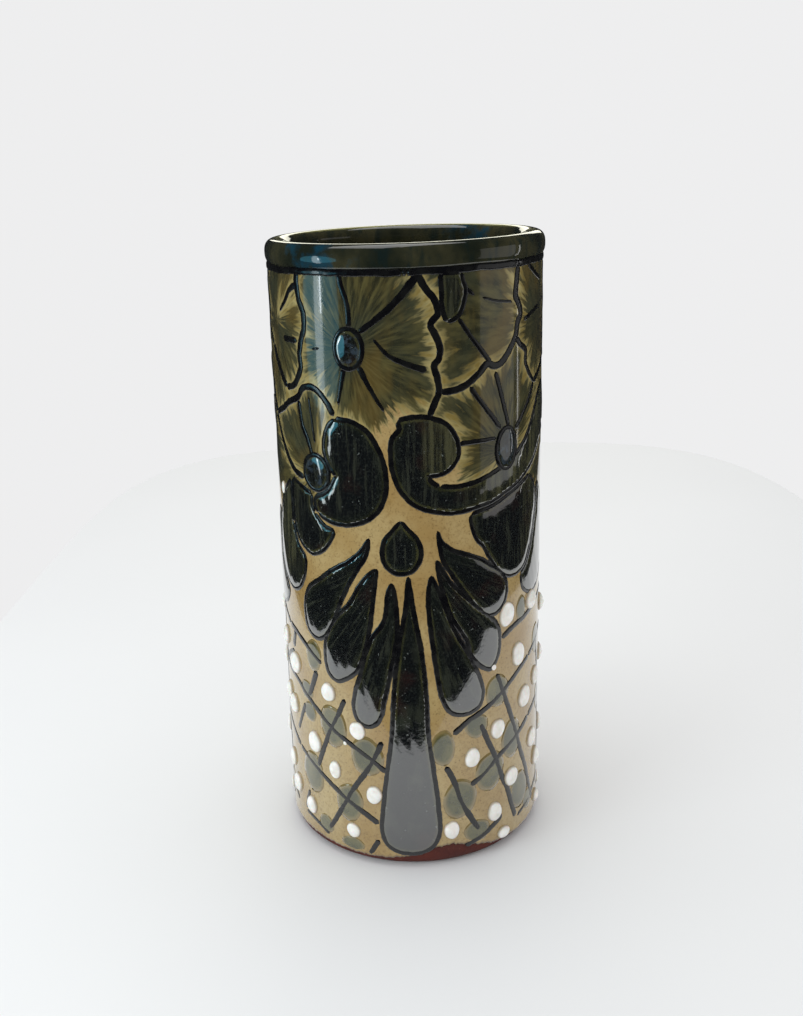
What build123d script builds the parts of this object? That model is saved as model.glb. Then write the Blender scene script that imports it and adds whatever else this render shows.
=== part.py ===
"""Hand-painted talavera cylinder vase.

A thrown clay pot with a rolled lip, covered with glaze coats, and decorated with raised strokes, pools
and dots of coloured glaze. Millimetres, +Z up, origin at the middle of the foot on the table.
The front of the pattern faces -Y.
"""
import os
from math import cos, pi, radians, sin

from build123d import *

# Driving dimensions
HEIGHT = 230.0  # over the highest side of the lip
FOOT_R = 50.0  # outside radius at the foot, over the glaze
SHOULDER_R = 49.4  # outside radius just under the lip, over the glaze
INSIDE_R = 43.5  # bare clay inside the wall
GLAZE = 0.5  # coat on the outside
LINING = 0.4  # coat on the inside
LIP_WIDTH = 8.0  # rolled lip, across
LIP_HEIGHT = 9.0  # rolled lip, up
LIP_TILT = 0.84  # degrees, the lip is higher at +X
GLAZE_LINE = 7.5  # where the glaze stops above the foot
HEEL = 5.0  # rounding of the outer bottom edge
FOOT_INSIDE_R = 36.0  # inner edge of the foot ring
FOOT_RECESS = 2.0  # underside of the floor above the table
FOOT_TOP = 6.0
FLOOR_TOP = 10.0
INSIDE_CORNER = 6.0  # glaze pooled in the corner of the floor

POOL = 0.35  # height of the glaze pools over the wall
STROKE = 0.4  # height of the raised outlines
SPOT = 0.2  # height of the olive spots
DOT = 1.8  # height of the enamel dots
LIP_LINE = 1.7  # width of the dark line under the lip
FLOWER_LINE = 2.2  # outline widths
FAN_LINE = 2.3
EYE_LINE = 2.0
PENDANT_LINE = 1.8
STROKE_FOOT = 2.0  # lowest height of any decoration

HALF_ROUND = pi * FOOT_R  # from the front pattern to the back one
LIP_FOOT = HEIGHT - LIP_HEIGHT - FOOT_R * sin(radians(LIP_TILT))

# The painted pattern of one side, as places on the unrolled wall: (distance to the right of the
# middle of the front, height). The other side carries the same pattern, half a turn round.

# Strokes are (start width, end width, points).
FLOWER_OUTLINES = [
    (2.8, 2.5, [(-41.5, 220), (-41.5, 215.5), (-40.5, 210.5), (-38.5, 206), (-38.5, 201), (-40, 197.5),
                (-41.5, 192), (-41, 188), (-42.5, 184.5), (-45.5, 181), (-50.5, 179.5)]),
    (2.5, 1.2, [(-41.5, 215.5), (-45.5, 213.5), (-49.5, 209), (-53.5, 205.5)]),
    (2.5, 2.5, [(-62, 168.5), (-54.5, 171.5), (-49.5, 174.5), (-43.5, 177), (-40.5, 180.5), (-36, 181.5),
                (-32.5, 180), (-29, 176.5), (-26.5, 172.5)]),
    (2.0, 2.5, [(-63, 168), (-60, 163.5), (-56, 158), (-51.5, 153), (-47.5, 150), (-42, 148.5)]),
    (2.5, 2.3, [(3.5, 220), (6.5, 215), (9.5, 211), (10.5, 207), (8, 203.5), (9.5, 200), (11, 196),
                (10.5, 192), (9, 190), (10, 186), (10.5, 181.5), (9, 177.5), (7, 173)]),
    (3.0, 2.5, [(43.5, 220), (42.5, 215), (42, 210), (44, 207), (45, 204), (43, 201), (42.5, 198),
                (40.5, 194.5), (37.5, 191), (34.5, 188.5), (31.5, 188), (28.5, 189), (25, 186),
                (20.5, 183), (16.5, 181.5), (11, 181)]),
    (2.5, 1.8, [(42.5, 196), (45, 193.5), (48.5, 191), (48.5, 187), (51, 183), (55, 179)]),
    (2.5, 2.3, [(70, 220), (69, 213), (71, 207), (69, 201), (71.5, 195), (69.5, 189), (66, 184.5),
                (60.5, 181.5), (55, 179)]),
    (2.5, 2.0, [(90, 220), (88.5, 213), (91, 206), (89.5, 200), (95, 193)]),
    (2.3, 2.3, [(69.5, 189), (74, 186), (80, 187.5), (86, 185), (90, 180), (92, 174), (95, 168.5)]),
]
FLOWER_SPOKES = [
    (2.0, 2.0, [(-19.5, 202.5), (-20, 210), (-22, 216), (-23, 220)]),
    (2.0, 2.8, [(-16, 201), (-6, 208.5), (2, 217), (4, 220)]),
    (1.0, 1.0, [(-35, 194.5), (-31.5, 195)]),
    (2.0, 1.2, [(-22, 189), (-23, 184), (-24.5, 176.5)]),
    (2.2, 1.0, [(-16.5, 190), (-12, 181.5), (-8, 175)]),
    (1.0, 2.5, [(-11, 199), (-6, 193.5), (2, 190), (6.5, 188.5)]),
    (2.2, 2.0, [(-51.5, 196.5), (-42.5, 196.5)]),
    (2.5, 2.8, [(-62, 193), (-56, 185.5), (-50.5, 179.5)]),
    (2.2, 2.0, [(-43, 176), (-42.5, 171.5), (-41.5, 167), (-39, 162.5), (-37, 157)]),
    (1.0, 1.0, [(-37.5, 178), (-35.5, 162)]),
    (0.9, 1.1, [(26.5, 211), (32, 209.5), (40, 208.5)]),
    (1.5, 2.0, [(17.5, 205), (21, 200), (25, 195), (28, 191.5), (30, 189)]),
    (1.5, 1.2, [(20, 214.5), (23.5, 212)]),
    (2.0, 1.5, [(50, 220), (56, 216.5), (62, 214)]),
    (1.5, 1.5, [(47, 201.5), (53.5, 203.5), (60, 205)]),
    (1.8, 2.0, [(21.5, 182), (27, 175), (34.5, 166)]),
    (2.0, 1.8, [(32, 186), (35, 176.5), (38.5, 166)]),
    (2.0, 1.5, [(17.5, 163), (25, 163), (32.5, 163)]),
    (2.0, 2.0, [(55, 179), (50, 172.5), (46, 168.5), (42, 164.5)]),
    (1.5, 1.0, [(70, 162), (75, 170), (80, 179)]),
    (1.5, 1.0, [(75, 157), (82, 164), (88, 174)]),
    (1.1, 1.5, [(76, 206), (80, 200), (81, 192)]),
]
SCROLL_LINES = [
    (1.9, 1.2, [(-26.5, 151.5), (-23, 150), (-20, 150.5), (-18.5, 153.5)]),
    (1.9, 1.2, [(1, 168.5), (5, 170.5)]),
    (0.8, 0.8, [(4.5, 163), (3.5, 158), (5, 153.5), (9, 152.5)]),
]
LATTICE_LINES = [
    (2.6, 2.3, [(-59.5, 87.5), (-52.5, 86), (-44.5, 82.5), (-37, 78.5)]),
    (3.1, 2.6, [(-57, 78.5), (-54.5, 86)]),
    (2.6, 2.1, [(-66.5, 71.5), (-56.5, 77)]),
    (2.3, 2.3, [(-65, 67.5), (-54.5, 66), (-48.5, 63), (-40.5, 58.5), (-32, 53), (-26, 50), (-16, 44.5),
                (-10.5, 40)]),
    (2.3, 1.8, [(-48.5, 58), (-55.5, 44.5)]),
    (2.9, 2.3, [(-40, 74.5), (-42, 70), (-45, 64), (-46.5, 62.5)]),
    (2.1, 2.3, [(-26.5, 67), (-31, 57.5), (-34, 52), (-37, 45), (-41.5, 34.5)]),
    (2.3, 2.1, [(-12, 52.5), (-14, 47.5), (-17, 41.5), (-20.5, 36), (-25, 29), (-28.5, 22.5), (-32.5, 15.5),
                (-36.5, 9.5)]),
    (2.1, 2.6, [(-54, 38), (-41.5, 33), (-33.5, 29), (-27, 25.5), (-20.5, 22), (-14, 18)]),
    (1.8, 1.6, [(-48, 21), (-50.5, 15.5), (-51.5, 11.5)]),
    (1.6, 1.8, [(-51.5, 10.5), (-44, 9.5), (-36.5, 7)]),
    (2.1, 1.8, [(-14, 11), (-18, 4)]),
    (2.6, 2.3, [(14.5, 54.5), (20, 58.5), (27, 61.5), (35.5, 66), (45.5, 71.5), (53.5, 74.5)]),
    (2.3, 2.6, [(33, 74.5), (36, 67), (40, 57.5), (44, 47), (47.5, 37.5), (51.5, 29), (55, 20), (59, 10)]),
    (2.3, 2.6, [(25.5, 56.5), (28.5, 49.5), (32, 41.5), (35.5, 32), (39, 24.5), (42, 15.5), (44, 10)]),
    (2.3, 2.6, [(21, 32), (26.5, 35), (33, 39.5), (40, 43), (47.5, 46), (54, 49)]),
    (2.3, 2.4, [(11.5, 42), (14.5, 35.5), (17.5, 26), (21.5, 18), (25, 12)]),
    (2.1, 2.6, [(19, 7), (25.5, 9), (31, 11.5), (36, 14.5)]),
    (1.6, 1.6, [(45.5, 9.5), (56, 12.5)]),
    (2.6, 2.1, [(35.5, 88), (42, 90.5), (50, 92), (62, 94.5), (72, 96), (84, 93), (97.5, 87.5)]),
    (2.3, 2.3, [(53.5, 74.5), (62, 78), (72, 80), (82, 76), (92, 67.5)]),
    (2.6, 2.3, [(54, 49), (66, 52), (78, 51), (92, 43.5), (103, 38)]),
    (2.1, 2.1, [(56, 12.5), (66, 16), (78, 17.5), (90, 15), (98, 11.5)]),
    (2.3, 2.3, [(62, 78), (66, 66), (69, 52), (71, 36), (71.5, 22), (71, 9)]),
    (2.3, 2.3, [(84, 93), (86, 80), (84, 63), (84.5, 49), (87, 32), (88, 17), (86.5, 8)]),
]

# Closed bodies of glaze, each a loop of curves that meet end to end.
SCROLLS = [
    [[(-26, 171.5), (-20, 171), (-15, 168.5), (-11.5, 164), (-9, 158), (-8, 150.5), (-8.5, 146),
      (-11, 140.5), (-16, 136.5), (-22.5, 134.5), (-30.5, 135), (-35, 137)],
     [(-35, 137), (-36.3, 139.8), (-35.8, 142.6), (-32.8, 143.9), (-29.7, 146.2), (-27.8, 149),
      (-26.5, 151.5)],
     [(-26.5, 151.5), (-29, 154.5), (-31, 159), (-31, 164), (-29, 168.5), (-26, 171.5)]],
    [[(-3.5, 172), (-3, 169), (-5.5, 165.5), (-6, 160.5), (-5.5, 154.5), (-3, 148), (2, 142.5), (9, 140),
      (16, 139), (25, 140), (31, 141), (37, 143), (45, 145.5), (55, 150.5), (64, 157)],
     [(64, 157), (67.5, 166), (66, 178)],
     [(66, 178), (60, 174), (54, 166), (50, 161), (42, 155), (36, 152.5), (25, 149), (17, 148),
      (10.5, 148.5)],
     [(10.5, 148.5), (7.5, 150.5), (6.5, 152.5)],
     [(6.5, 152.5), (12, 153.5), (15, 155.5), (17, 159), (17, 163), (15, 167.5), (12, 170.5), (7.5, 172.5),
      (2.5, 173), (-3.5, 172)]],
]
TEARDROP = [
    [[(-3.2, 137), (-0.5, 133.5), (2.4, 130), (3.4, 126), (2.5, 121.5), (0, 118.8), (-3.2, 118),
      (-6.4, 118.8), (-9, 121.5), (-9.8, 126), (-8.8, 130), (-6, 133.5), (-3.2, 137)]],
]
RIM_DROPS = [
    [[(11.5, 217.5), (12, 214), (12, 208.5), (13.5, 204)],
     [(13.5, 204), (17.5, 206), (19.5, 210.5), (20, 214.5), (19, 217), (18.5, 217.5)],
     [(18.5, 217.5), (11.5, 217.5)]],
]
FAN_PETALS = [
    [[(-14.5, 130.5), (-17.5, 125.5), (-22.5, 121), (-29, 117), (-35.5, 112), (-41, 108), (-44.5, 102),
      (-45, 96.5), (-43.5, 91), (-39.5, 88.5), (-35.5, 89.5), (-32, 93.5), (-29, 99.5), (-26.5, 105.5),
      (-23, 112.5), (-19.5, 118.5), (-16, 124), (-14.5, 130.5)]],
    [[(-12, 119.5), (-14.5, 117.5), (-18.5, 112.5), (-22.5, 105.5), (-28, 99.5), (-31.5, 94.5), (-34, 88.5),
      (-34.5, 81), (-33, 76), (-29.5, 74), (-25, 76), (-21, 79.5), (-18, 86), (-15.5, 96.5), (-14.5, 103),
      (-13.5, 110), (-12, 119.5)]],
    [[(-7, 114.5), (-8.3, 110.5), (-9, 103), (-10.5, 98.5), (-13.5, 94.5), (-16.5, 88), (-19.5, 77.5),
      (-21.5, 71.5), (-22.5, 65), (-21, 60), (-17.5, 58), (-14, 59.5), (-12, 63), (-11, 68), (-9.5, 74),
      (-8, 82), (-6.5, 88), (-5.5, 96), (-5.5, 103), (-6, 110.5), (-7, 114.5)]],
    [[(7, 117), (6, 110.5), (6.8, 96), (8, 86), (9.2, 76.5), (11, 68.5), (14, 63.5), (20, 62), (25, 64),
      (26.5, 69), (25, 75), (22.5, 81), (19.5, 87), (16, 93.5), (13, 100.5), (10.5, 108), (7, 117)]],
    [[(9, 122.5), (10, 116), (12.5, 106), (14.5, 100.5), (17, 96), (20, 91), (22, 84.5), (25.5, 80),
      (30, 77.5), (32.5, 80), (34, 84), (34, 91), (32.5, 94.5), (29, 98.5), (25, 102), (21, 106),
      (17, 110), (13.5, 114), (9, 122.5)]],
    [[(9.5, 133), (10.5, 129.5), (14.5, 125.5), (20, 123), (25.5, 120.5), (30.5, 117), (35, 113.5),
      (37.5, 109), (37.5, 104.5), (35.5, 100.5), (31.5, 98.5), (27.5, 99.5), (24, 103), (20.5, 107.5),
      (17.5, 112), (14.5, 117), (11.5, 122), (9.5, 133)]],
]
PADDLE = [
    [[(-1, 117), (-2, 105), (-5, 88), (-7, 70), (-8, 55), (-10, 40), (-12, 24), (-12.5, 15), (-10.5, 9.5),
      (-6.5, 7), (-2, 6.5), (2.5, 7), (6.5, 9.5), (8.7, 15), (8.5, 24), (6.8, 40), (5, 55), (4.5, 70),
      (3, 88), (0.3, 105), (-1, 117)]],
]
PENDANTS = [
    [[(-49.5, 147), (-49.5, 140), (-49, 130.5), (-46, 124.5), (-39, 121), (-33.5, 123.5), (-30, 127.5),
      (-28, 131.5)],
     [(-28, 131.5), (-32, 132.5), (-37, 136.5)],
     [(-37, 136.5), (-38.3, 139.5), (-38, 143.3)],
     [(-38, 143.3), (-42, 144.5), (-49.5, 147)]],
    [[(-51, 130), (-48, 123), (-43.5, 118.5), (-43.5, 114), (-46, 108), (-50, 104.5), (-54, 104), (-60, 107),
      (-64, 113), (-65, 122), (-63, 131), (-58.5, 139), (-51.5, 146)],
     [(-51.5, 146), (-51, 130)]],
    [[(-66, 113), (-61.5, 105.5), (-58.5, 101.5), (-61, 97), (-67.5, 94), (-73.5, 96.5), (-76.5, 104),
      (-76.5, 116), (-73, 126), (-66.5, 132)],
     [(-66.5, 132), (-66.5, 122), (-66, 113)]],
    [[(22, 137.5), (22, 134.5), (24, 128.5), (27, 125), (30.5, 119), (35, 113.5), (40, 111), (44.5, 111),
      (49, 113), (53, 118.5), (57, 127), (58.5, 136), (56, 142), (52, 146)],
     [(52, 146), (45, 143.5), (37, 141), (31, 139), (22, 137.5)]],
    [[(46.5, 109.5), (48, 104), (52, 101), (57, 100), (64, 102), (69, 108), (71, 117), (70, 127), (66, 136),
      (61, 141)],
     [(61, 141), (59.5, 131), (55.5, 120), (51, 113), (46.5, 109.5)]],
]

# Round pools and dots are (place, height, half width, half height).
EYES = [(-20, 195.5, 5, 6.5), (37.5, 158.5, 4.7, 7.3), (-35.5, 151.5, 5.8, 6.2)]
LATTICE_SPOTS = [
    (-41.5, 80.5, 4.5, 6.5), (-47, 64.5, 4, 4), (-45.5, 56, 4, 4), (-32.5, 54.5, 6.5, 8.5),
    (-18, 45.5, 6.8, 7.8), (-45, 30.5, 7, 8.5), (-26, 24.5, 6, 8), (-38, 11, 4, 4), (-25, 7, 5, 3),
    (24, 56, 5, 5), (33.5, 67.5, 6, 6.5), (41.5, 45, 6, 8), (30, 35.5, 7, 8), (17, 27.5, 6.7, 8.4),
    (10.5, 49.5, 4.5, 7.5), (24, 12, 5.5, 5), (47, 20.5, 6.7, 8), (47, 96, 3.5, 5),
    (62, 78.5, 5, 6), (69, 52.5, 6, 7), (71.5, 17, 6, 7), (85, 78, 6, 6.5), (84.5, 49.5, 6, 7.5),
    (88, 16, 5.5, 6), (54, 13, 4.6, 4),
]
WHITE_DOTS = [
    (-55.5, 72.5, 4.6, 4.6), (-34, 68, 3.4, 4), (-21.5, 55.5, 3.3, 3.8), (-42.5, 44.5, 3.8, 4.5),
    (-32, 36.5, 2.9, 3.8), (-15.5, 30, 3.2, 3.9), (-46.5, 15.5, 3.2, 4), (-24.5, 13, 3, 3.2),
    (-58.5, 54, 4, 4), (-58.5, 19.5, 4, 4), (38, 96.5, 4, 5), (54.5, 97, 4, 4), (45, 78.5, 4, 5),
    (50, 59, 4.6, 4.6), (33.5, 52, 3.6, 4), (22, 43.5, 3.2, 4.2), (41, 29, 3.8, 4.2), (32, 17.5, 3.5, 4.2),
    (13.5, 15, 3.2, 3.8), (36.5, 6.8, 3.3, 2.4), (57.5, 38, 4.2, 4.2), (77, 66, 3.6, 4), (77, 35, 3.5, 4),
    (61, 63, 3.6, 4), (63, 27, 3.5, 4), (92, 57, 3.5, 4), (93, 28, 3.4, 4), (75, 88, 3.5, 3.8),
    (79, 8.5, 3.2, 2.8), (91, 80, 3.6, 4), (64, 8.5, 3.2, 2.8), (-27, 49, 0.8, 0.8), (31.5, 77.5, 1.2, 1.2),
    (-59, 141, 1.6, 2.4),
]


def wall_radius(z):
    """Outside radius of the glazed wall at a height."""
    return FOOT_R + (SHOULDER_R - FOOT_R) * z / LIP_FOOT


def wall_plane(s, radius, z=0.0):
    """Plane that faces out of the wall at the distance s round it."""
    turn = s / FOOT_R
    outward = Vector(sin(turn), -cos(turn), 0)
    return Plane(origin=outward * radius + Vector(0, 0, z), x_dir=(cos(turn), sin(turn), 0), z_dir=outward)


def flatten(points, middle):
    """Wall points seen square on from the plane at middle."""
    return [(FOOT_R * sin((s - middle) / FOOT_R), z) for s, z in points]


def centre(points):
    """Distance round the wall of the middle of some points."""
    return (min(s for s, z in points) + max(s for s, z in points)) / 2


def brush_outline(middle, start_width, end_width, points):
    """Corners of a brush stroke that follows points and changes width along its length."""
    flat = [Vector(*point) for point in flatten(points, middle)]
    last = len(flat) - 1
    left, right = [], []
    for i, point in enumerate(flat):
        along = (flat[min(i + 1, last)] - flat[max(i - 1, 0)]).normalized()
        side = Vector(-along.Y, along.X) * (start_width + (end_width - start_width) * i / last) / 2
        left.append(point + side)
        right.append(point - side)
    return left + right[::-1]


def stroke_face(middle, start_width, end_width, points):
    """Face of a brush stroke."""
    with BuildSketch(wall_plane(middle, FOOT_R / 3)) as stroke:
        with BuildLine():
            Polyline(*brush_outline(middle, start_width, end_width, points), close=True)
        make_face()
    return stroke.sketch


def pool_face(loop, width):
    """Face inside a loop of curves, clear of the outlines drawn along them."""
    middle = centre(sum(loop, []))
    with BuildSketch(wall_plane(middle, FOOT_R / 3)) as pool:
        with BuildLine():
            for points in loop:
                Polyline(*flatten(points, middle))
        make_face()
        for line in loop:
            for points in open_curves(line):
                with BuildLine():
                    Polyline(*brush_outline(middle, width, width, points), close=True)
                make_face(mode=Mode.SUBTRACT)
    return pool.sketch


def round_face(s, z, half_width, half_height, lines=()):
    """Face of a round pool, clear of the strokes that cross it."""
    with BuildSketch(wall_plane(s, FOOT_R / 3)) as pool:
        with Locations((0, z)):
            Ellipse(half_width, half_height)
        for start_width, end_width, points in lines:
            if abs(centre(points) - s) < FOOT_R:
                with BuildLine():
                    Polyline(*brush_outline(s, start_width, end_width, points), close=True)
                make_face(mode=Mode.SUBTRACT)
    return pool.sketch


def coat(low, high, inner, outer):
    """Shell round the wall between two heights, as offsets from the glazed surface."""
    with BuildPart() as shell:
        with BuildSketch(Plane.XZ):
            with BuildLine():
                Polyline((wall_radius(low) + inner, low), (wall_radius(low) + outer, low),
                         (wall_radius(high) + outer, high), (wall_radius(high) + inner, high), close=True)
            make_face()
        revolve(axis=Axis.Z)
    return shell.part


def raised(face, shell):
    """The part of a shell that lies under a face."""
    with BuildPart() as piece:
        extrude(face, amount=FOOT_R)
        add(shell, mode=Mode.INTERSECT)
    return piece.part


def both_sides(points):
    """Some wall points on the front, and the same ones half a turn round."""
    return [points, [(s + HALF_ROUND, z) for s, z in points]]


def open_curves(points):
    """A curve that ends where it began, as two open ones."""
    if points[0] != points[-1]:
        return [points]
    middle = len(points) // 2
    return [points[:middle + 1], points[middle:]]


def strokes(lines):
    """Raised strokes on both sides."""
    return [raised(stroke_face(centre(points), start, end, points), STROKE_SHELL)
            for start, end, line in lines for points in both_sides(line)]


def outlines(loops, width):
    """Raised outlines of loops on both sides."""
    lines = [line for loop in loops for line in loop]
    return strokes([(width, width, points) for line in lines for points in open_curves(line)])


def pools(loops, width):
    """Glaze pools inside the outlines of loops, on both sides."""
    return [raised(pool_face([[(s + turn, z) for s, z in points] for points in loop], width), POOL_SHELL)
            for loop in loops for turn in (0, HALF_ROUND)]


def round_pools(places, shell, lines=()):
    """Round pools on both sides."""
    moved = [(start, end, points) for start, end, line in lines for points in both_sides(line)]
    return [raised(round_face(s + turn, z, half_width, half_height, moved), shell)
            for s, z, half_width, half_height in places for turn in (0, HALF_ROUND)]


STROKE_TOP = LIP_FOOT - LIP_LINE - 1.0  # just under the lowest side of the lip line
STROKE_SHELL = coat(STROKE_FOOT, STROKE_TOP, 0, STROKE)
POOL_SHELL = coat(STROKE_FOOT, STROKE_TOP, 0, POOL)
SPOT_SHELL = coat(STROKE_FOOT, STROKE_TOP, 0, SPOT)
INSIDE_WALL = coat(0, HEIGHT, -10, 0)
lip_plane = Plane(origin=(0, 0, LIP_FOOT), x_dir=(cos(radians(LIP_TILT)), 0, sin(radians(LIP_TILT))),
                  z_dir=(-sin(radians(LIP_TILT)), 0, cos(radians(LIP_TILT))))
lip_axis = Axis(lip_plane.origin, lip_plane.z_dir)
lip_section = Plane(origin=lip_plane.origin, x_dir=lip_plane.x_dir, z_dir=(0, -1, 0))
lip_middle = FOOT_R - LIP_WIDTH / 2

# Foot ring with a rounded heel
with BuildPart() as clay_foot:
    clay_r = FOOT_R - GLAZE
    with BuildSketch(Plane.XZ):
        with BuildLine():
            Line((FOOT_INSIDE_R, 0), (clay_r - HEEL, 0))
            RadiusArc((clay_r - HEEL, 0), (clay_r, HEEL), -HEEL)
            Polyline((clay_r, HEEL), (clay_r, FOOT_TOP), (FOOT_INSIDE_R, FOOT_TOP), (FOOT_INSIDE_R, 0))
        make_face()
    revolve(axis=Axis.Z)
clay_foot.part.label = "clay_foot"

# Floor disc, recessed under the pot
with BuildPart() as clay_floor:
    with BuildSketch(Plane.XZ):
        with BuildLine():
            Polyline((0, FOOT_RECESS), (FOOT_INSIDE_R, FOOT_RECESS), (FOOT_INSIDE_R, FOOT_TOP),
                     (INSIDE_R, FOOT_TOP), (INSIDE_R, FLOOR_TOP), (0, FLOOR_TOP), close=True)
        make_face()
    revolve(axis=Axis.Z)
clay_floor.part.label = "clay_floor"

# Thrown wall, cut off along the tilted plane of the lip
with BuildPart() as clay_wall:
    with BuildSketch(Plane.XZ):
        with BuildLine():
            Polyline((INSIDE_R, FOOT_TOP), (wall_radius(FOOT_TOP) - GLAZE, FOOT_TOP),
                     (wall_radius(HEIGHT) - GLAZE, HEIGHT), (INSIDE_R, HEIGHT), close=True)
        make_face()
    revolve(axis=Axis.Z)
    split(bisect_by=lip_plane, keep=Keep.BOTTOM)
clay_wall.part.label = "clay_wall"

# Rolled lip on a short neck
with BuildPart() as clay_lip:
    with BuildSketch(lip_section):
        with Locations((lip_middle, LIP_HEIGHT / 2)):
            RectangleRounded(LIP_WIDTH - 2 * GLAZE, LIP_HEIGHT - 2 * GLAZE, LIP_WIDTH / 2 - GLAZE - 0.1)
        with Locations(((INSIDE_R + SHOULDER_R - GLAZE) / 2, LIP_HEIGHT / 4)):
            Rectangle(SHOULDER_R - GLAZE - INSIDE_R, LIP_HEIGHT / 2)
    revolve(axis=lip_axis)
clay_lip.part.label = "clay_lip"

# Honey glaze on the outside of the wall
with BuildPart() as outside_glaze:
    add(coat(GLAZE_LINE, HEIGHT, -GLAZE, 0))
    split(bisect_by=lip_plane, keep=Keep.BOTTOM)
outside_glaze.part.label = "outside_glaze"

# Green glaze on the inside, pooled in the corner of the floor
with BuildPart() as inside_glaze:
    lining_r = INSIDE_R - LINING
    lining_z = FLOOR_TOP + LINING
    bend_r = lining_r - INSIDE_CORNER
    bend_z = lining_z + INSIDE_CORNER
    with BuildSketch(Plane.XZ):
        with BuildLine():
            Polyline((0, FLOOR_TOP), (INSIDE_R, FLOOR_TOP), (INSIDE_R, HEIGHT), (lining_r, HEIGHT),
                     (lining_r, bend_z))
            RadiusArc((lining_r, bend_z), (bend_r, lining_z), INSIDE_CORNER)
            Polyline((bend_r, lining_z), (0, lining_z), (0, FLOOR_TOP))
        make_face()
    revolve(axis=Axis.Z)
    split(bisect_by=lip_plane, keep=Keep.BOTTOM)
inside_glaze.part.label = "inside_glaze"

# Dark glaze round the lip
with BuildPart() as lip_glaze:
    with BuildSketch(lip_section):
        with Locations((lip_middle, LIP_HEIGHT / 2)):
            RectangleRounded(LIP_WIDTH, LIP_HEIGHT, LIP_WIDTH / 2 - 0.1)
            RectangleRounded(LIP_WIDTH - 2 * GLAZE, LIP_HEIGHT - 2 * GLAZE, LIP_WIDTH / 2 - GLAZE - 0.1,
                             mode=Mode.SUBTRACT)
        with Locations(((INSIDE_R + SHOULDER_R - GLAZE) / 2, LIP_HEIGHT / 4)):
            Rectangle(SHOULDER_R - GLAZE - INSIDE_R, LIP_HEIGHT / 2, mode=Mode.SUBTRACT)
    revolve(axis=lip_axis)
lip_glaze.part.label = "lip_glaze"

# Dark line drawn round the pot under the lip
with BuildPart() as lip_line:
    with BuildSketch(lip_section):
        with Locations((SHOULDER_R + 0.05 + STROKE / 2, -LIP_LINE / 2 - 0.1)):
            Rectangle(STROKE, LIP_LINE)
    revolve(axis=lip_axis)
lip_line.part.label = "lip_line"

# Enamel dots, each the cap of a ball that sits in the wall
with BuildPart() as white_dots:
    for s, z, half_width, half_height in WHITE_DOTS:
        base = (half_width + half_height) / 2
        rise = min(DOT, base * 0.6)
        ball = (base**2 + rise**2) / (2 * rise)
        for turn in (0, HALF_ROUND):
            with Locations(wall_plane(s + turn, wall_radius(z) + rise - ball, z)):
                Sphere(ball)
    add(INSIDE_WALL, mode=Mode.SUBTRACT)
white_dots.part.label = "white_dots"

# Rings round the flower centres, with a pool inside each
with BuildPart() as flower_rings:
    add(round_pools([(s, z, w + EYE_LINE / 2, h + EYE_LINE / 2) for s, z, w, h in EYES], STROKE_SHELL))
    add(round_pools([(s, z, w - EYE_LINE / 2, h - EYE_LINE / 2) for s, z, w, h in EYES], STROKE_SHELL),
        mode=Mode.SUBTRACT)
flower_rings.part.label = "flower_rings"

# Pool inside each ring
with BuildPart() as flower_eyes:
    add(round_pools([(s, z, w - EYE_LINE / 2, h - EYE_LINE / 2) for s, z, w, h in EYES], POOL_SHELL))
flower_eyes.part.label = "flower_eyes"

# Wavy outlines of the flowers
with BuildPart() as flower_outlines:
    add(strokes(FLOWER_OUTLINES))
flower_outlines.part.label = "flower_outlines"

# Spokes that run out from the flower centres
with BuildPart() as flower_spokes:
    add(strokes(FLOWER_SPOKES))
flower_spokes.part.label = "flower_spokes"

# Drops that hang from the lip line
with BuildPart() as rim_drop_outlines:
    add(outlines(RIM_DROPS, FLOWER_LINE))
rim_drop_outlines.part.label = "rim_drop_outlines"

with BuildPart() as rim_drop_glaze:
    add(pools(RIM_DROPS, FLOWER_LINE))
rim_drop_glaze.part.label = "rim_drop_glaze"

# Pair of scrolls under the flowers, with the short strokes inside them
with BuildPart() as scroll_outlines:
    add(outlines(SCROLLS, FLOWER_LINE))
    add(strokes(SCROLL_LINES))
scroll_outlines.part.label = "scroll_outlines"

with BuildPart() as scroll_glaze:
    add(pools(SCROLLS, FLOWER_LINE))
scroll_glaze.part.label = "scroll_glaze"

# Teardrop at the top of the fan
with BuildPart() as teardrop_outlines:
    add(outlines(TEARDROP, FAN_LINE))
teardrop_outlines.part.label = "teardrop_outlines"

with BuildPart() as teardrop_glaze:
    add(pools(TEARDROP, FAN_LINE))
teardrop_glaze.part.label = "teardrop_glaze"

# Fan of six petals
with BuildPart() as fan_petal_outlines:
    add(outlines(FAN_PETALS, FAN_LINE))
fan_petal_outlines.part.label = "fan_petal_outlines"

with BuildPart() as fan_petal_glaze:
    add(pools(FAN_PETALS, FAN_LINE))
fan_petal_glaze.part.label = "fan_petal_glaze"

# Long paddle in the middle of the fan
with BuildPart() as paddle_outlines:
    add(outlines(PADDLE, FAN_LINE))
paddle_outlines.part.label = "paddle_outlines"

with BuildPart() as paddle_glaze:
    add(pools(PADDLE, FAN_LINE))
paddle_glaze.part.label = "paddle_glaze"

# Pendants beside the fan
with BuildPart() as pendant_outlines:
    add(outlines(PENDANTS, PENDANT_LINE))
pendant_outlines.part.label = "pendant_outlines"

with BuildPart() as pendant_glaze:
    add(pools(PENDANTS, PENDANT_LINE))
pendant_glaze.part.label = "pendant_glaze"

# Crossing strokes of the lattice
with BuildPart() as lattice_lines:
    add(strokes(LATTICE_LINES))
lattice_lines.part.label = "lattice_lines"

# Olive spots of the lattice, clear of the strokes
with BuildPart() as lattice_spots:
    add(round_pools(LATTICE_SPOTS, SPOT_SHELL, LATTICE_LINES))
lattice_spots.part.label = "lattice_spots"

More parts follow.
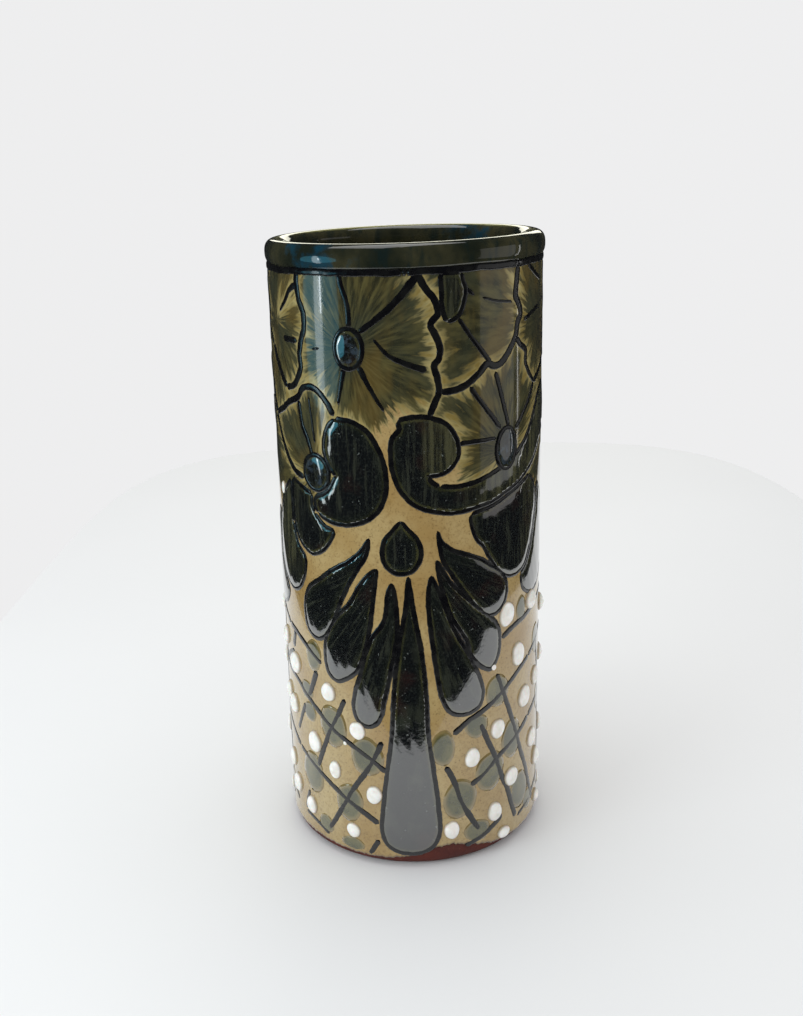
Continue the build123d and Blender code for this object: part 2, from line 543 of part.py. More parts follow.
finished = [clay_foot, clay_floor, clay_wall, clay_lip, outside_glaze, inside_glaze, lip_glaze, lip_line,
            white_dots, flower_rings, flower_eyes, flower_outlines, flower_spokes, rim_drop_outlines,
            rim_drop_glaze, scroll_outlines, scroll_glaze, teardrop_outlines, teardrop_glaze,
            fan_petal_outlines, fan_petal_glaze, paddle_outlines, paddle_glaze, pendant_outlines,
            pendant_glaze, lattice_lines, lattice_spots]
os.makedirs("parts", exist_ok=True)
for piece in finished:
    export_step(piece.part, f"parts/{piece.part.label}.step")
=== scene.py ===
"""Talavera cylinder vase: glaze coats, raised hand-painted decoration and a pale studio.

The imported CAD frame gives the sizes. Wall places are (distance round the wall from the middle of the
front, height) in millimetres, and place() turns them into metres in the frame.
"""
from math import cos, pi, radians, sin

import bpy
import numpy as np
from mathutils import Matrix, Vector
from mathutils.geometry import delaunay_2d_cdt


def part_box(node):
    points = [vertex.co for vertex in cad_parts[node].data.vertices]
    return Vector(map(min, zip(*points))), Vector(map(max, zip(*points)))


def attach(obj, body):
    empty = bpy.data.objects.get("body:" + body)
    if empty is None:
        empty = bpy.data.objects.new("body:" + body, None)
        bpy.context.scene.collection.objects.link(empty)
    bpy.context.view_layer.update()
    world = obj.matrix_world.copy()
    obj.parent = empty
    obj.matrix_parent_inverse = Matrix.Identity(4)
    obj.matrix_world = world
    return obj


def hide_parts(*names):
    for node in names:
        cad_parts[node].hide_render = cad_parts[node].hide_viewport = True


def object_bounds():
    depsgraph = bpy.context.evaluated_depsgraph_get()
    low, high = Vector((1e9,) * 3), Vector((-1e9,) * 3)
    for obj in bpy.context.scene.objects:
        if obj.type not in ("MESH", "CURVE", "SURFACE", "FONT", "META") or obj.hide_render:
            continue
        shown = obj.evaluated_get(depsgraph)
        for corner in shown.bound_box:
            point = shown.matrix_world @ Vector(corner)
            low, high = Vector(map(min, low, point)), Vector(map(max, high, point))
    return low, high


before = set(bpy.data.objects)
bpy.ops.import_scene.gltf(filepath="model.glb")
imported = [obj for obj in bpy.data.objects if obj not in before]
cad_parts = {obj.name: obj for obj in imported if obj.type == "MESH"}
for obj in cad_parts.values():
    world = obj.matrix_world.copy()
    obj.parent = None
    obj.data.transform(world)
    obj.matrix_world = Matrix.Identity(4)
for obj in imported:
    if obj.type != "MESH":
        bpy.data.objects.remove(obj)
cad_low, cad_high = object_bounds()

MM = 0.001
FOOT_R = 50.0  # radius that distances round the wall are measured on
WALL_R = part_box("outside_glaze")[1].x / MM  # glazed wall at the foot
SHOULDER_R = WALL_R - 0.6  # glazed wall under the lip
HEIGHT = cad_high.z / MM
LIP_WIDTH = 8.0
LIP_HEIGHT = 9.0
LIP_TILT = radians(0.84)  # the lip is higher at +X
LIP_FOOT = HEIGHT - LIP_HEIGHT - FOOT_R * sin(LIP_TILT)
INSIDE_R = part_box("inside_glaze")[1].x / MM - 0.4
FLOOR_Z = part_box("clay_floor")[1].z / MM + 0.4
CLAY_R = WALL_R - 0.45
HALF_ROUND = pi * FOOT_R
SIDES = (0.0, HALF_ROUND)

STROKE = 0.25  # height of the raised strokes
POOL = 0.35  # height of the glaze pools
HEEL = 5.0  # rounding of the outer bottom edge
SINK = 0.3  # how far decoration reaches into the wall
FLOWER_LINE = 2.2
FAN_LINE = 2.3
EYE_LINE = 2.0
PENDANT_LINE = 1.8

AROUND = 460  # columns of the glaze skin
UP = 205  # rows of the glaze skin
SKIN = 0.6  # depth of its hidden inner face under the glazed wall
SKIN_EDGE = 0.42  # how thin the glaze gets at its lower edge
TUCK = 2.5  # how far it runs up under the lip
FAR = 30.0  # distance to the nearest outline where there is none
WASH_LOW = 130  # height where the brush washes can begin
WASH_ROWS = 92  # 1 mm cells from there to the lip
SPREAD = 160  # cells that a wash can spread

# The painted pattern of one side, as places on the unrolled wall: (distance to the right of the
# middle of the front, height). The other side carries the same pattern, half a turn round.

# Strokes are (start width, end width, points).
FLOWER_OUTLINES = [
    (2.8, 2.5, [(-41.5, 220), (-41.5, 215.5), (-40.5, 210.5), (-38.5, 206), (-38.5, 201), (-40, 197.5),
                (-41.5, 192), (-41, 188), (-42.5, 184.5), (-45.5, 181), (-50.5, 179.5)]),
    (2.5, 1.2, [(-41.5, 215.5), (-45.5, 213.5), (-49.5, 209), (-53.5, 205.5)]),
    (2.5, 2.5, [(-62, 168.5), (-54.5, 171.5), (-49.5, 174.5), (-43.5, 177), (-40.5, 180.5), (-36, 181.5),
                (-32.5, 180), (-29, 176.5), (-26.5, 172.5)]),
    (2.0, 2.5, [(-63, 168), (-60, 163.5), (-56, 158), (-51.5, 153), (-47.5, 150), (-42, 148.5)]),
    (2.5, 2.3, [(3.5, 220), (6.5, 215), (9.5, 211), (10.5, 207), (8, 203.5), (9.5, 200), (11, 196),
                (10.5, 192), (9, 190), (10, 186), (10.5, 181.5), (9, 177.5), (7, 173)]),
    (3.0, 2.5, [(43.5, 220), (42.5, 215), (42, 210), (44, 207), (45, 204), (43, 201), (42.5, 198),
                (40.5, 194.5), (37.5, 191), (34.5, 188.5), (31.5, 188), (28.5, 189), (25, 186),
                (20.5, 183), (16.5, 181.5), (11, 181)]),
    (2.5, 1.8, [(42.5, 196), (45, 193.5), (48.5, 191), (48.5, 187), (51, 183), (55, 179)]),
    (2.5, 2.3, [(70, 220), (69, 213), (71, 207), (69, 201), (71.5, 195), (69.5, 189), (66, 184.5),
                (60.5, 181.5), (55, 179)]),
    (2.5, 2.0, [(90, 220), (88.5, 213), (91, 206), (89.5, 200), (95, 193)]),
    (2.3, 2.3, [(69.5, 189), (74, 186), (80, 187.5), (86, 185), (90, 180), (92, 174), (95, 168.5)]),
]
FLOWER_SPOKES = [
    (2.0, 2.0, [(-19.5, 202.5), (-20, 210), (-22, 216), (-23, 220)]),
    (2.0, 2.8, [(-16, 201), (-6, 208.5), (2, 217), (4, 220)]),
    (1.0, 1.0, [(-35, 194.5), (-31.5, 195)]),
    (2.0, 1.2, [(-22, 189), (-23, 184), (-24.5, 176.5)]),
    (2.2, 1.0, [(-16.5, 190), (-12, 181.5), (-8, 175)]),
    (1.0, 2.5, [(-11, 199), (-6, 193.5), (2, 190), (6.5, 188.5)]),
    (2.2, 2.0, [(-51.5, 196.5), (-42.5, 196.5)]),
    (2.5, 2.8, [(-62, 193), (-56, 185.5), (-50.5, 179.5)]),
    (2.2, 2.0, [(-43, 176), (-42.5, 171.5), (-41.5, 167), (-39, 162.5), (-37, 157)]),
    (1.0, 1.0, [(-37.5, 178), (-35.5, 162)]),
    (0.9, 1.1, [(26.5, 211), (32, 209.5), (40, 208.5)]),
    (1.5, 2.0, [(17.5, 205), (21, 200), (25, 195), (28, 191.5), (30, 189)]),
    (1.5, 1.2, [(20, 214.5), (23.5, 212)]),
    (2.0, 1.5, [(50, 220), (56, 216.5), (62, 214)]),
    (1.5, 1.5, [(47, 201.5), (53.5, 203.5), (60, 205)]),
    (1.8, 2.0, [(21.5, 182), (27, 175), (34.5, 166)]),
    (2.0, 1.8, [(32, 186), (35, 176.5), (38.5, 166)]),
    (2.0, 1.5, [(17.5, 163), (25, 163), (32.5, 163)]),
    (2.0, 2.0, [(55, 179), (50, 172.5), (46, 168.5), (42, 164.5)]),
    (1.5, 1.0, [(70, 162), (75, 170), (80, 179)]),
    (1.5, 1.0, [(75, 157), (82, 164), (88, 174)]),
    (1.1, 1.5, [(76, 206), (80, 200), (81, 192)]),
]
SCROLL_LINES = [
    (1.9, 1.2, [(-26.5, 151.5), (-23, 150), (-20, 150.5), (-18.5, 153.5)]),
    (1.9, 1.2, [(1, 168.5), (5, 170.5)]),
    (0.8, 0.8, [(4.5, 163), (3.5, 158), (5, 153.5), (9, 152.5)]),
]
LATTICE_LINES = [
    (2.6, 2.3, [(-59.5, 87.5), (-52.5, 86), (-44.5, 82.5), (-37, 78.5)]),
    (3.1, 2.6, [(-57, 78.5), (-54.5, 86)]),
    (2.6, 2.1, [(-66.5, 71.5), (-56.5, 77)]),
    (2.3, 2.3, [(-65, 67.5), (-54.5, 66), (-48.5, 63), (-40.5, 58.5), (-32, 53), (-26, 50), (-16, 44.5),
                (-10.5, 40)]),
    (2.3, 1.8, [(-48.5, 58), (-55.5, 44.5)]),
    (2.9, 2.3, [(-40, 74.5), (-42, 70), (-45, 64), (-46.5, 62.5)]),
    (2.1, 2.3, [(-26.5, 67), (-31, 57.5), (-34, 52), (-37, 45), (-41.5, 34.5)]),
    (2.3, 2.1, [(-12, 52.5), (-14, 47.5), (-17, 41.5), (-20.5, 36), (-25, 29), (-28.5, 22.5), (-32.5, 15.5),
                (-36.5, 9.5)]),
    (2.1, 2.6, [(-54, 38), (-41.5, 33), (-33.5, 29), (-27, 25.5), (-20.5, 22), (-14, 18)]),
    (1.8, 1.6, [(-48, 21), (-50.5, 15.5), (-51.5, 11.5)]),
    (1.6, 1.8, [(-51.5, 10.5), (-44, 9.5), (-36.5, 7)]),
    (2.1, 1.8, [(-14, 11), (-18, 4)]),
    (2.6, 2.3, [(14.5, 54.5), (20, 58.5), (27, 61.5), (35.5, 66), (45.5, 71.5), (53.5, 74.5)]),
    (2.3, 2.6, [(33, 74.5), (36, 67), (40, 57.5), (44, 47), (47.5, 37.5), (51.5, 29), (55, 20), (59, 10)]),
    (2.3, 2.6, [(25.5, 56.5), (28.5, 49.5), (32, 41.5), (35.5, 32), (39, 24.5), (42, 15.5), (44, 10)]),
    (2.3, 2.6, [(21, 32), (26.5, 35), (33, 39.5), (40, 43), (47.5, 46), (54, 49)]),
    (2.3, 2.4, [(11.5, 42), (14.5, 35.5), (17.5, 26), (21.5, 18), (25, 12)]),
    (2.1, 2.6, [(19, 7), (25.5, 9), (31, 11.5), (36, 14.5)]),
    (1.6, 1.6, [(45.5, 9.5), (56, 12.5)]),
    (2.6, 2.1, [(35.5, 88), (42, 90.5), (50, 92), (62, 94.5), (72, 96), (84, 93), (97.5, 87.5)]),
    (2.3, 2.3, [(53.5, 74.5), (62, 78), (72, 80), (82, 76), (92, 67.5)]),
    (2.6, 2.3, [(54, 49), (66, 52), (78, 51), (92, 43.5), (103, 38)]),
    (2.1, 2.1, [(56, 12.5), (66, 16), (78, 17.5), (90, 15), (98, 11.5)]),
    (2.3, 2.3, [(62, 78), (66, 66), (69, 52), (71, 36), (71.5, 22), (71, 9)]),
    (2.3, 2.3, [(84, 93), (86, 80), (84, 63), (84.5, 49), (87, 32), (88, 17), (86.5, 8)]),
]

# Closed bodies of glaze, each a loop of curves that meet end to end.
SCROLLS = [
    [[(-26, 171.5), (-20, 171), (-15, 168.5), (-11.5, 164), (-9, 158), (-8, 150.5), (-8.5, 146),
      (-11, 140.5), (-16, 136.5), (-22.5, 134.5), (-30.5, 135), (-35, 137)],
     [(-35, 137), (-36.3, 139.8), (-35.8, 142.6), (-32.8, 143.9), (-29.7, 146.2), (-27.8, 149),
      (-26.5, 151.5)],
     [(-26.5, 151.5), (-29, 154.5), (-31, 159), (-31, 164), (-29, 168.5), (-26, 171.5)]],
    [[(-3.5, 172), (-3, 169), (-5.5, 165.5), (-6, 160.5), (-5.5, 154.5), (-3, 148), (2, 142.5), (9, 140),
      (16, 139), (25, 140), (31, 141), (37, 143), (45, 145.5), (55, 150.5), (64, 157)],
     [(64, 157), (67.5, 166), (66, 178)],
     [(66, 178), (60, 174), (54, 166), (50, 161), (42, 155), (36, 152.5), (25, 149), (17, 148),
      (10.5, 148.5)],
     [(10.5, 148.5), (7.5, 150.5), (6.5, 152.5)],
     [(6.5, 152.5), (12, 153.5), (15, 155.5), (17, 159), (17, 163), (15, 167.5), (12, 170.5), (7.5, 172.5),
      (2.5, 173), (-3.5, 172)]],
]
TEARDROP = [
    [[(-3.2, 137), (-0.5, 133.5), (2.4, 130), (3.4, 126), (2.5, 121.5), (0, 118.8), (-3.2, 118),
      (-6.4, 118.8), (-9, 121.5), (-9.8, 126), (-8.8, 130), (-6, 133.5), (-3.2, 137)]],
]
RIM_DROPS = [
    [[(11.5, 219.5), (12, 214), (12, 208.5), (13.5, 204)],
     [(13.5, 204), (17.5, 206), (19.5, 210.5), (20, 214.5), (19, 217), (18.5, 219.5)],
     [(18.5, 219.5), (11.5, 219.5)]],
]
FAN_PETALS = [
    [[(-14.5, 130.5), (-17.5, 125.5), (-22.5, 121), (-29, 117), (-35.5, 112), (-41, 108), (-44.5, 102),
      (-45, 96.5), (-43.5, 91), (-39.5, 88.5), (-35.5, 89.5), (-32, 93.5), (-29, 99.5), (-26.5, 105.5),
      (-23, 112.5), (-19.5, 118.5), (-16, 124), (-14.5, 130.5)]],
    [[(-12, 119.5), (-14.5, 117.5), (-18.5, 112.5), (-22.5, 105.5), (-28, 99.5), (-31.5, 94.5), (-34, 88.5),
      (-34.5, 81), (-33, 76), (-29.5, 74), (-25, 76), (-21, 79.5), (-18, 86), (-15.5, 96.5), (-14.5, 103),
      (-13.5, 110), (-12, 119.5)]],
    [[(-7, 114.5), (-8.3, 110.5), (-9, 103), (-10.5, 98.5), (-13.5, 94.5), (-16.5, 88), (-19.5, 77.5),
      (-21.5, 71.5), (-22.5, 65), (-21, 60), (-17.5, 58), (-14, 59.5), (-12, 63), (-11, 68), (-9.5, 74),
      (-8, 82), (-6.5, 88), (-5.5, 96), (-5.5, 103), (-6, 110.5), (-7, 114.5)]],
    [[(7, 117), (6, 110.5), (6.8, 96), (8, 86), (9.2, 76.5), (11, 68.5), (14, 63.5), (20, 62), (25, 64),
      (26.5, 69), (25, 75), (22.5, 81), (19.5, 87), (16, 93.5), (13, 100.5), (10.5, 108), (7, 117)]],
    [[(9, 122.5), (10, 116), (12.5, 106), (14.5, 100.5), (17, 96), (20, 91), (22, 84.5), (25.5, 80),
      (30, 77.5), (32.5, 80), (34, 84), (34, 91), (32.5, 94.5), (29, 98.5), (25, 102), (21, 106),
      (17, 110), (13.5, 114), (9, 122.5)]],
    [[(9.5, 133), (10.5, 129.5), (14.5, 125.5), (20, 123), (25.5, 120.5), (30.5, 117), (35, 113.5),
      (37.5, 109), (37.5, 104.5), (35.5, 100.5), (31.5, 98.5), (27.5, 99.5), (24, 103), (20.5, 107.5),
      (17.5, 112), (14.5, 117), (11.5, 122), (9.5, 133)]],
]
PADDLE = [
    [[(-1, 117), (-2, 105), (-5, 88), (-7, 70), (-8, 55), (-10, 40), (-12, 24), (-12.5, 15), (-10.5, 9.5),
      (-6.5, 7), (-2, 6.5), (2.5, 7), (6.5, 9.5), (8.7, 15), (8.5, 24), (6.8, 40), (5, 55), (4.5, 70),
      (3, 88), (0.3, 105), (-1, 117)]],
]
PENDANTS = [
    [[(-49.5, 147), (-49.5, 140), (-49, 130.5), (-46, 124.5), (-39, 121), (-33.5, 123.5), (-30, 127.5),
      (-28, 131.5)],
     [(-28, 131.5), (-32, 132.5), (-37, 136.5)],
     [(-37, 136.5), (-38.3, 139.5), (-38, 143.3)],
     [(-38, 143.3), (-42, 144.5), (-49.5, 147)]],
    [[(-51, 130), (-48, 123), (-43.5, 118.5), (-43.5, 114), (-46, 108), (-50, 104.5), (-54, 104), (-60, 107),
      (-64, 113), (-65, 122), (-63, 131), (-58.5, 139), (-51.5, 146)],
     [(-51.5, 146), (-51, 130)]],
    [[(-66, 113), (-61.5, 105.5), (-58.5, 101.5), (-61, 97), (-67.5, 94), (-73.5, 96.5), (-76.5, 104),
      (-76.5, 116), (-73, 126), (-66.5, 132)],
     [(-66.5, 132), (-66.5, 122), (-66, 113)]],
    [[(22, 137.5), (22, 134.5), (24, 128.5), (27, 125), (30.5, 119), (35, 113.5), (40, 111), (44.5, 111),
      (49, 113), (53, 118.5), (57, 127), (58.5, 136), (56, 142), (52, 146)],
     [(52, 146), (45, 143.5), (37, 141), (31, 139), (22, 137.5)]],
    [[(46.5, 109.5), (48, 104), (52, 101), (57, 100), (64, 102), (69, 108), (71, 117), (70, 127), (66, 136),
      (61, 141)],
     [(61, 141), (59.5, 131), (55.5, 120), (51, 113), (46.5, 109.5)]],
]

# Round pools and dots are (place, height, half width, half height).
EYES = [(-20, 195.5, 5, 6.5), (37.5, 158.5, 4.7, 7.3), (-35.5, 151.5, 5.8, 6.2)]
LATTICE_SPOTS = [
    (-41.5, 80.5, 4.5, 6.5), (-47, 64.5, 4, 4), (-45.5, 56, 4, 4), (-32.5, 54.5, 6.5, 8.5),
    (-18, 45.5, 6.8, 7.8), (-45, 30.5, 7, 8.5), (-26, 24.5, 6, 8), (-38, 11, 4, 4), (-25, 7, 5, 3),
    (24, 56, 5, 5), (33.5, 67.5, 6, 6.5), (41.5, 45, 6, 8), (30, 35.5, 7, 8), (17, 27.5, 6.7, 8.4),
    (10.5, 49.5, 4.5, 7.5), (24, 12, 5.5, 5), (47, 20.5, 6.7, 8), (47, 96, 3.5, 5),
    (62, 78.5, 5, 6), (69, 52.5, 6, 7), (71.5, 17, 6, 7), (85, 78, 6, 6.5), (84.5, 49.5, 6, 7.5),
    (88, 16, 5.5, 6), (54, 13, 4.6, 4),
]
WHITE_DOTS = [
    (-55.5, 72.5, 4.6, 4.6), (-34, 68, 3.4, 4), (-21.5, 55.5, 3.3, 3.8), (-42.5, 44.5, 3.8, 4.5),
    (-32, 36.5, 2.9, 3.8), (-15.5, 30, 3.2, 3.9), (-46.5, 15.5, 3.2, 4), (-24.5, 13, 3, 3.2),
    (-58.5, 54, 4, 4), (-58.5, 19.5, 4, 4), (38, 96.5, 4, 5), (54.5, 97, 4, 4), (45, 78.5, 4, 5),
    (50, 59, 4.6, 4.6), (33.5, 52, 3.6, 4), (22, 43.5, 3.2, 4.2), (41, 29, 3.8, 4.2), (32, 17.5, 3.5, 4.2),
    (13.5, 15, 3.2, 3.8), (36.5, 6.8, 3.3, 2.4), (57.5, 38, 4.2, 4.2), (77, 66, 3.6, 4), (77, 35, 3.5, 4),
    (61, 63, 3.6, 4), (63, 27, 3.5, 4), (92, 57, 3.5, 4), (93, 28, 3.4, 4), (75, 88, 3.5, 3.8),
    (79, 8.5, 3.2, 2.8), (91, 80, 3.6, 4), (64, 8.5, 3.2, 2.8), (-27, 49, 0.8, 0.8), (31.5, 77.5, 1.2, 1.2),
    (-59, 141, 1.6, 2.4),
]

# The flower that each part of the upper wall belongs to: brush washes radiate from these places.
PETAL_CENTRES = [(-20, 195.5), (37.5, 158.5), (-35.5, 151.5), (18, 216), (-57, 202), (60, 200), (80, 200),
                 (79, 162)]


# ------------ camera


def make_camera():
    """The camera: straight on, a little above the lip and close to the vase."""
    yaw, pitch, roll = radians(-0.44), radians(-17.58), radians(-1.25)
    forward = Vector((sin(yaw) * cos(pitch), cos(yaw) * cos(pitch), sin(pitch)))
    level = Vector((cos(yaw), -sin(yaw), 0))
    upright = level.cross(forward)
    right = cos(roll) * level + sin(roll) * upright
    up = cos(roll) * upright - sin(roll) * level
    data = bpy.data.cameras.new("camera")
    data.sensor_width = 36
    data.lens = 40.03
    data.clip_start = 0.01
    camera = bpy.data.objects.new("camera", data)
    axes = Matrix((right, up, -forward)).transposed().to_4x4()
    camera.matrix_world = Matrix.Translation((0, -0.414, 0.2573)) @ axes
    bpy.context.scene.collection.objects.link(camera)
    bpy.context.scene.camera = camera


make_camera()


# ------------ the wall


def wall_r(s, z):
    """Radius of the glazed wall, with the slight rings and ovals that throwing leaves."""
    turn = s / FOOT_R
    straight = WALL_R + (SHOULDER_R - WALL_R) * z / LIP_FOOT
    rings = 0.05 * np.sin(z / 5.3 + 0.8 * np.sin(turn)) + 0.09 * np.sin(z / 13.0 + turn)
    ovals = 0.10 * np.sin(2 * turn + 0.9) + 0.05 * np.sin(3 * turn + z / 40.0)
    low = np.clip(HEEL - z, 0, HEEL)
    return straight + rings + ovals - 0.1 - (HEEL - np.sqrt(HEEL**2 - low**2))


def place(s, z, height=0.0):
    """Points at a height over the glazed wall, in metres."""
    s, z = np.asarray(s, float), np.asarray(z, float)
    turn = s / FOOT_R
    radius = wall_r(s, z) + height
    return np.stack([radius * np.sin(turn), -radius * np.cos(turn), z + 0 * turn], -1) * MM


def wave(values, seed):
    """Smooth uneven numbers between about -1 and 1 that depend only on the values and the seed."""
    slow, fast = np.sin(values + seed * 1.7), np.sin(values * 2.3 + seed * 4.1)
    return (slow + fast + np.sin(values * 4.9 + seed)) / 3


# ------------ mesh helpers


def superellipse(half_x, half_y, power, count):
    """Points round an oval with squarer corners than an ellipse."""
    angle = np.linspace(0, 2 * pi, count, endpoint=False)
    x, y = np.cos(angle), np.sin(angle)
    return np.stack([half_x * np.sign(x) * np.abs(x) ** power, half_y * np.sign(y) * np.abs(y) ** power], 1)


def between(t, low, high, first, second):
    """The mix of two values at t between low and high."""
    return (high - t) / (high - low) * first + (t - low) / (high - low) * second


def smooth_line(points, step=0.8):
    """A centripetal Catmull-Rom curve through points, sampled evenly."""
    points = np.array(points, float)
    if len(points) == 2:
        dense = points[0] + (points[1] - points[0]) * np.linspace(0, 1, 30)[:, None]
    else:
        knots = np.concatenate([[2 * points[0] - points[1]], points, [2 * points[-1] - points[-2]]])
        dense = []
        for p0, p1, p2, p3 in zip(knots, knots[1:], knots[2:], knots[3:]):
            gaps = [max(np.linalg.norm(b - a), 1e-6) ** 0.5 for a, b in ((p0, p1), (p1, p2), (p2, p3))]
            t0, t1, t2, t3 = np.cumsum([0.0] + gaps)
            t = np.linspace(t1, t2, 14, endpoint=False)[:, None]
            a1, a2 = between(t, t0, t1, p0, p1), between(t, t1, t2, p1, p2)
            b1 = between(t, t0, t2, a1, a2)
            b2 = between(t, t1, t3, a2, between(t, t2, t3, p2, p3))
            dense.append(between(t, t1, t2, b1, b2))
        dense = np.concatenate(dense + [points[-1:]])
    run = np.concatenate([[0], np.cumsum(np.linalg.norm(np.diff(dense, axis=0), axis=1))])
    marks = np.linspace(0, run[-1], max(3, int(run[-1] / step) + 1))
    return np.stack([np.interp(marks, run, dense[:, 0]), np.interp(marks, run, dense[:, 1])], 1)


def distance_to(points, targets):
    """Distance from each point to the nearest target."""
    parts = [points[first:first + 500] for first in range(0, len(points), 500)]
    return np.concatenate([np.hypot(part[:, :1] - targets[:, 0], part[:, 1:] - targets[:, 1]).min(1)
                           for part in parts])


class Sheet:
    """Vertices, faces and per-vertex fields that are gathered and made into one object."""

    def __init__(self):
        self.vertices, self.faces, self.fields, self.count = [], [], {}, 0

    def add(self, vertices, faces, **fields):
        self.vertices.append(vertices)
        self.faces += [tuple(self.count + i for i in face) for face in faces]
        for name, values in fields.items():
            self.fields.setdefault(name, []).append(np.asarray(values, float))
        self.count += len(vertices)

    def make(self, name, slot):
        mesh = bpy.data.meshes.new(name)
        mesh.from_pydata(np.concatenate(self.vertices).tolist(), [], self.faces)
        for field, values in self.fields.items():
            values = np.concatenate(values)
            kind, key = ("FLOAT", "value") if values.ndim == 1 else ("FLOAT_VECTOR", "vector")
            mesh.attributes.new(field, kind, "POINT").data.foreach_set(key, values.ravel())
        mesh.shade_smooth()
        mesh.materials.append(MATERIALS[slot])
        mesh.update()
        piece = bpy.data.objects.new(name, mesh)
        bpy.context.scene.collection.objects.link(piece)
        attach(piece, "root")
        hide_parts(name)


def grid_faces(rows, columns, joined=False):
    """Quads of a grid of ring-shaped rows. joined says whether the last row meets the first."""
    faces = []
    for i in range(rows if joined else rows - 1):
        for j in range(columns):
            i2, j2 = (i + 1) % rows, (j + 1) % columns
            faces.append((i * columns + j, i * columns + j2, i2 * columns + j2, i2 * columns + j))
    return faces


# ------------ strokes, pools, spots and dots

SECTION = [(-1.0, -SINK), (-1.0, 0.02), (-0.86, 0.6), (-0.5, 0.93), (0.0, 1.0), (0.5, 0.93), (0.86, 0.6),
           (1.0, 0.02), (1.0, -SINK)]  # across half the width, up the stroke's height


def add_stroke(sheet, start_width, end_width, points, seed, height=STROKE, closed=False):
    """A raised brush stroke with a rounded section, uneven edges and rounded ends."""
    line = points if closed else smooth_line(points)
    count = len(line)
    along = np.roll(line, -1, 0) - np.roll(line, 1, 0) if closed else np.gradient(line, axis=0)
    along = along / np.maximum(np.linalg.norm(along, axis=1), 1e-9)[:, None]
    side = np.stack([-along[:, 1], along[:, 0]], 1)
    run = np.concatenate([[0], np.cumsum(np.linalg.norm(np.diff(line, axis=0), axis=1))])
    share = run / run[-1]
    width = (start_width + (end_width - start_width) * share) * (1 + 0.10 * wave(run * 0.55, seed))
    if tuple(points[0]) == tuple(points[-1]):  # a petal's outline thins towards its tip, where the ends meet
        width = width * (1 - 0.45 * (np.exp(-run / 5) + np.exp((run - run[-1]) / 5)))
    line = line + side * (0.10 * wave(run * 0.4, seed + 5))[:, None]
    rise = height * (1 + 0.15 * wave(run * 0.35, seed + 9))
    if not closed:
        near_end = np.minimum(run / (start_width * 0.6), (run[-1] - run) / (end_width * 0.6))
        cap = np.sqrt(np.clip(1 - (1 - np.clip(near_end, 0, 1)) ** 2, 0.02, 1))
        width, rise = width * cap, rise * cap
    rows = []
    for across, up in SECTION:
        spot = line + side * (across * width / 2)[:, None]
        lift = np.full(count, up) if up <= 0 else up * rise
        rows.append(place(spot[:, 0], spot[:, 1], lift))
    vertices = np.stack(rows, 1).reshape(-1, 3)
    wide = len(SECTION)
    faces = grid_faces(count, wide, closed)
    if not closed:
        faces += [tuple(range(wide))[::-1], tuple((count - 1) * wide + j for j in range(wide))]
    sheet.add(vertices, faces)


def inside(points, line):
    """Whether points lie inside a closed line."""
    x, z = points[:, :1], points[:, 1:]
    x1, z1 = line[:, 0], line[:, 1]
    x2, z2 = np.roll(x1, -1), np.roll(z1, -1)
    crosses = (z1 > z) != (z2 > z)
    slope = np.where(z2 == z1, 1e-9, z2 - z1)
    return (crosses & (x < x1 + (z - z1) * (x2 - x1) / slope)).sum(1) % 2 == 1


def add_pool(sheet, loop, turn, seed, grain=None, thin=None, height=POOL, mottle=0.0, pitch=0.9):
    """A domed pool of glaze inside a loop.

    grain is the place that its brush streaks radiate from, thin says how thin and olive the glaze is at
    each place, from 0 to 1, and mottle how much blue-grey curdles in it.
    """
    line = np.concatenate([smooth_line(points)[:-1] for points in loop])
    low, high = line.min(0), line.max(0)
    points = np.array([(x, z) for i, z in enumerate(np.arange(low[1], high[1], pitch * 0.87))
                       for x in np.arange(low[0] + (i % 2) * pitch / 2, high[0], pitch)])
    points = points[inside(points, line)]
    points = points[distance_to(points, line) > pitch * 0.6]
    count = len(line)
    flat = [Vector(p) for p in np.concatenate([line, points])]
    made = delaunay_2d_cdt(flat, [], [list(range(count))], 1, 1e-4)
    spots = np.array([tuple(v) for v in made[0]])
    triangles = [tuple(face) for face in made[2]]
    edge = distance_to(spots, smooth_line(np.concatenate([line, line[:1]]), 0.25))
    swell = 0.05 * wave(spots[:, 0] * 0.3 + spots[:, 1] * 0.1, seed)
    lift = 0.08 + height * (1 - np.exp(-edge / 1.3)) + swell
    top = place(spots[:, 0] + turn, spots[:, 1], lift)
    bottom = place(spots[:, 0] + turn, spots[:, 1], -SINK)
    total = len(spots)
    directed = {(face[k], face[(k + 1) % 3]) for face in triangles for k in range(3)}
    walls = [(b, a, a + total, b + total) for a, b in directed if (b, a) not in directed]
    faces = triangles + [tuple(i + total for i in face[::-1]) for face in triangles] + walls
    if grain is None:
        streak = np.stack([spots[:, 0] * 1.4, spots[:, 1] * 0.12, np.full(total, seed)], 1)
    else:
        away = spots - np.array(grain)
        streak = np.stack([np.arctan2(away[:, 0], -away[:, 1]) * 55, np.linalg.norm(away, axis=1) * 0.12,
                           np.full(total, seed)], 1)
        edge = edge + 4 * np.exp(-np.linalg.norm(spots - line[0], axis=1) / 7)
    olive = np.zeros(total) if thin is None else np.clip(thin(spots[:, 0], spots[:, 1]), 0, 1)
    sheet.add(np.concatenate([top, bottom]), faces, edge=np.tile(edge, 2), streak=np.tile(streak, (2, 1)),
              thin=np.tile(olive, 2), mottle=np.full(2 * total, mottle))


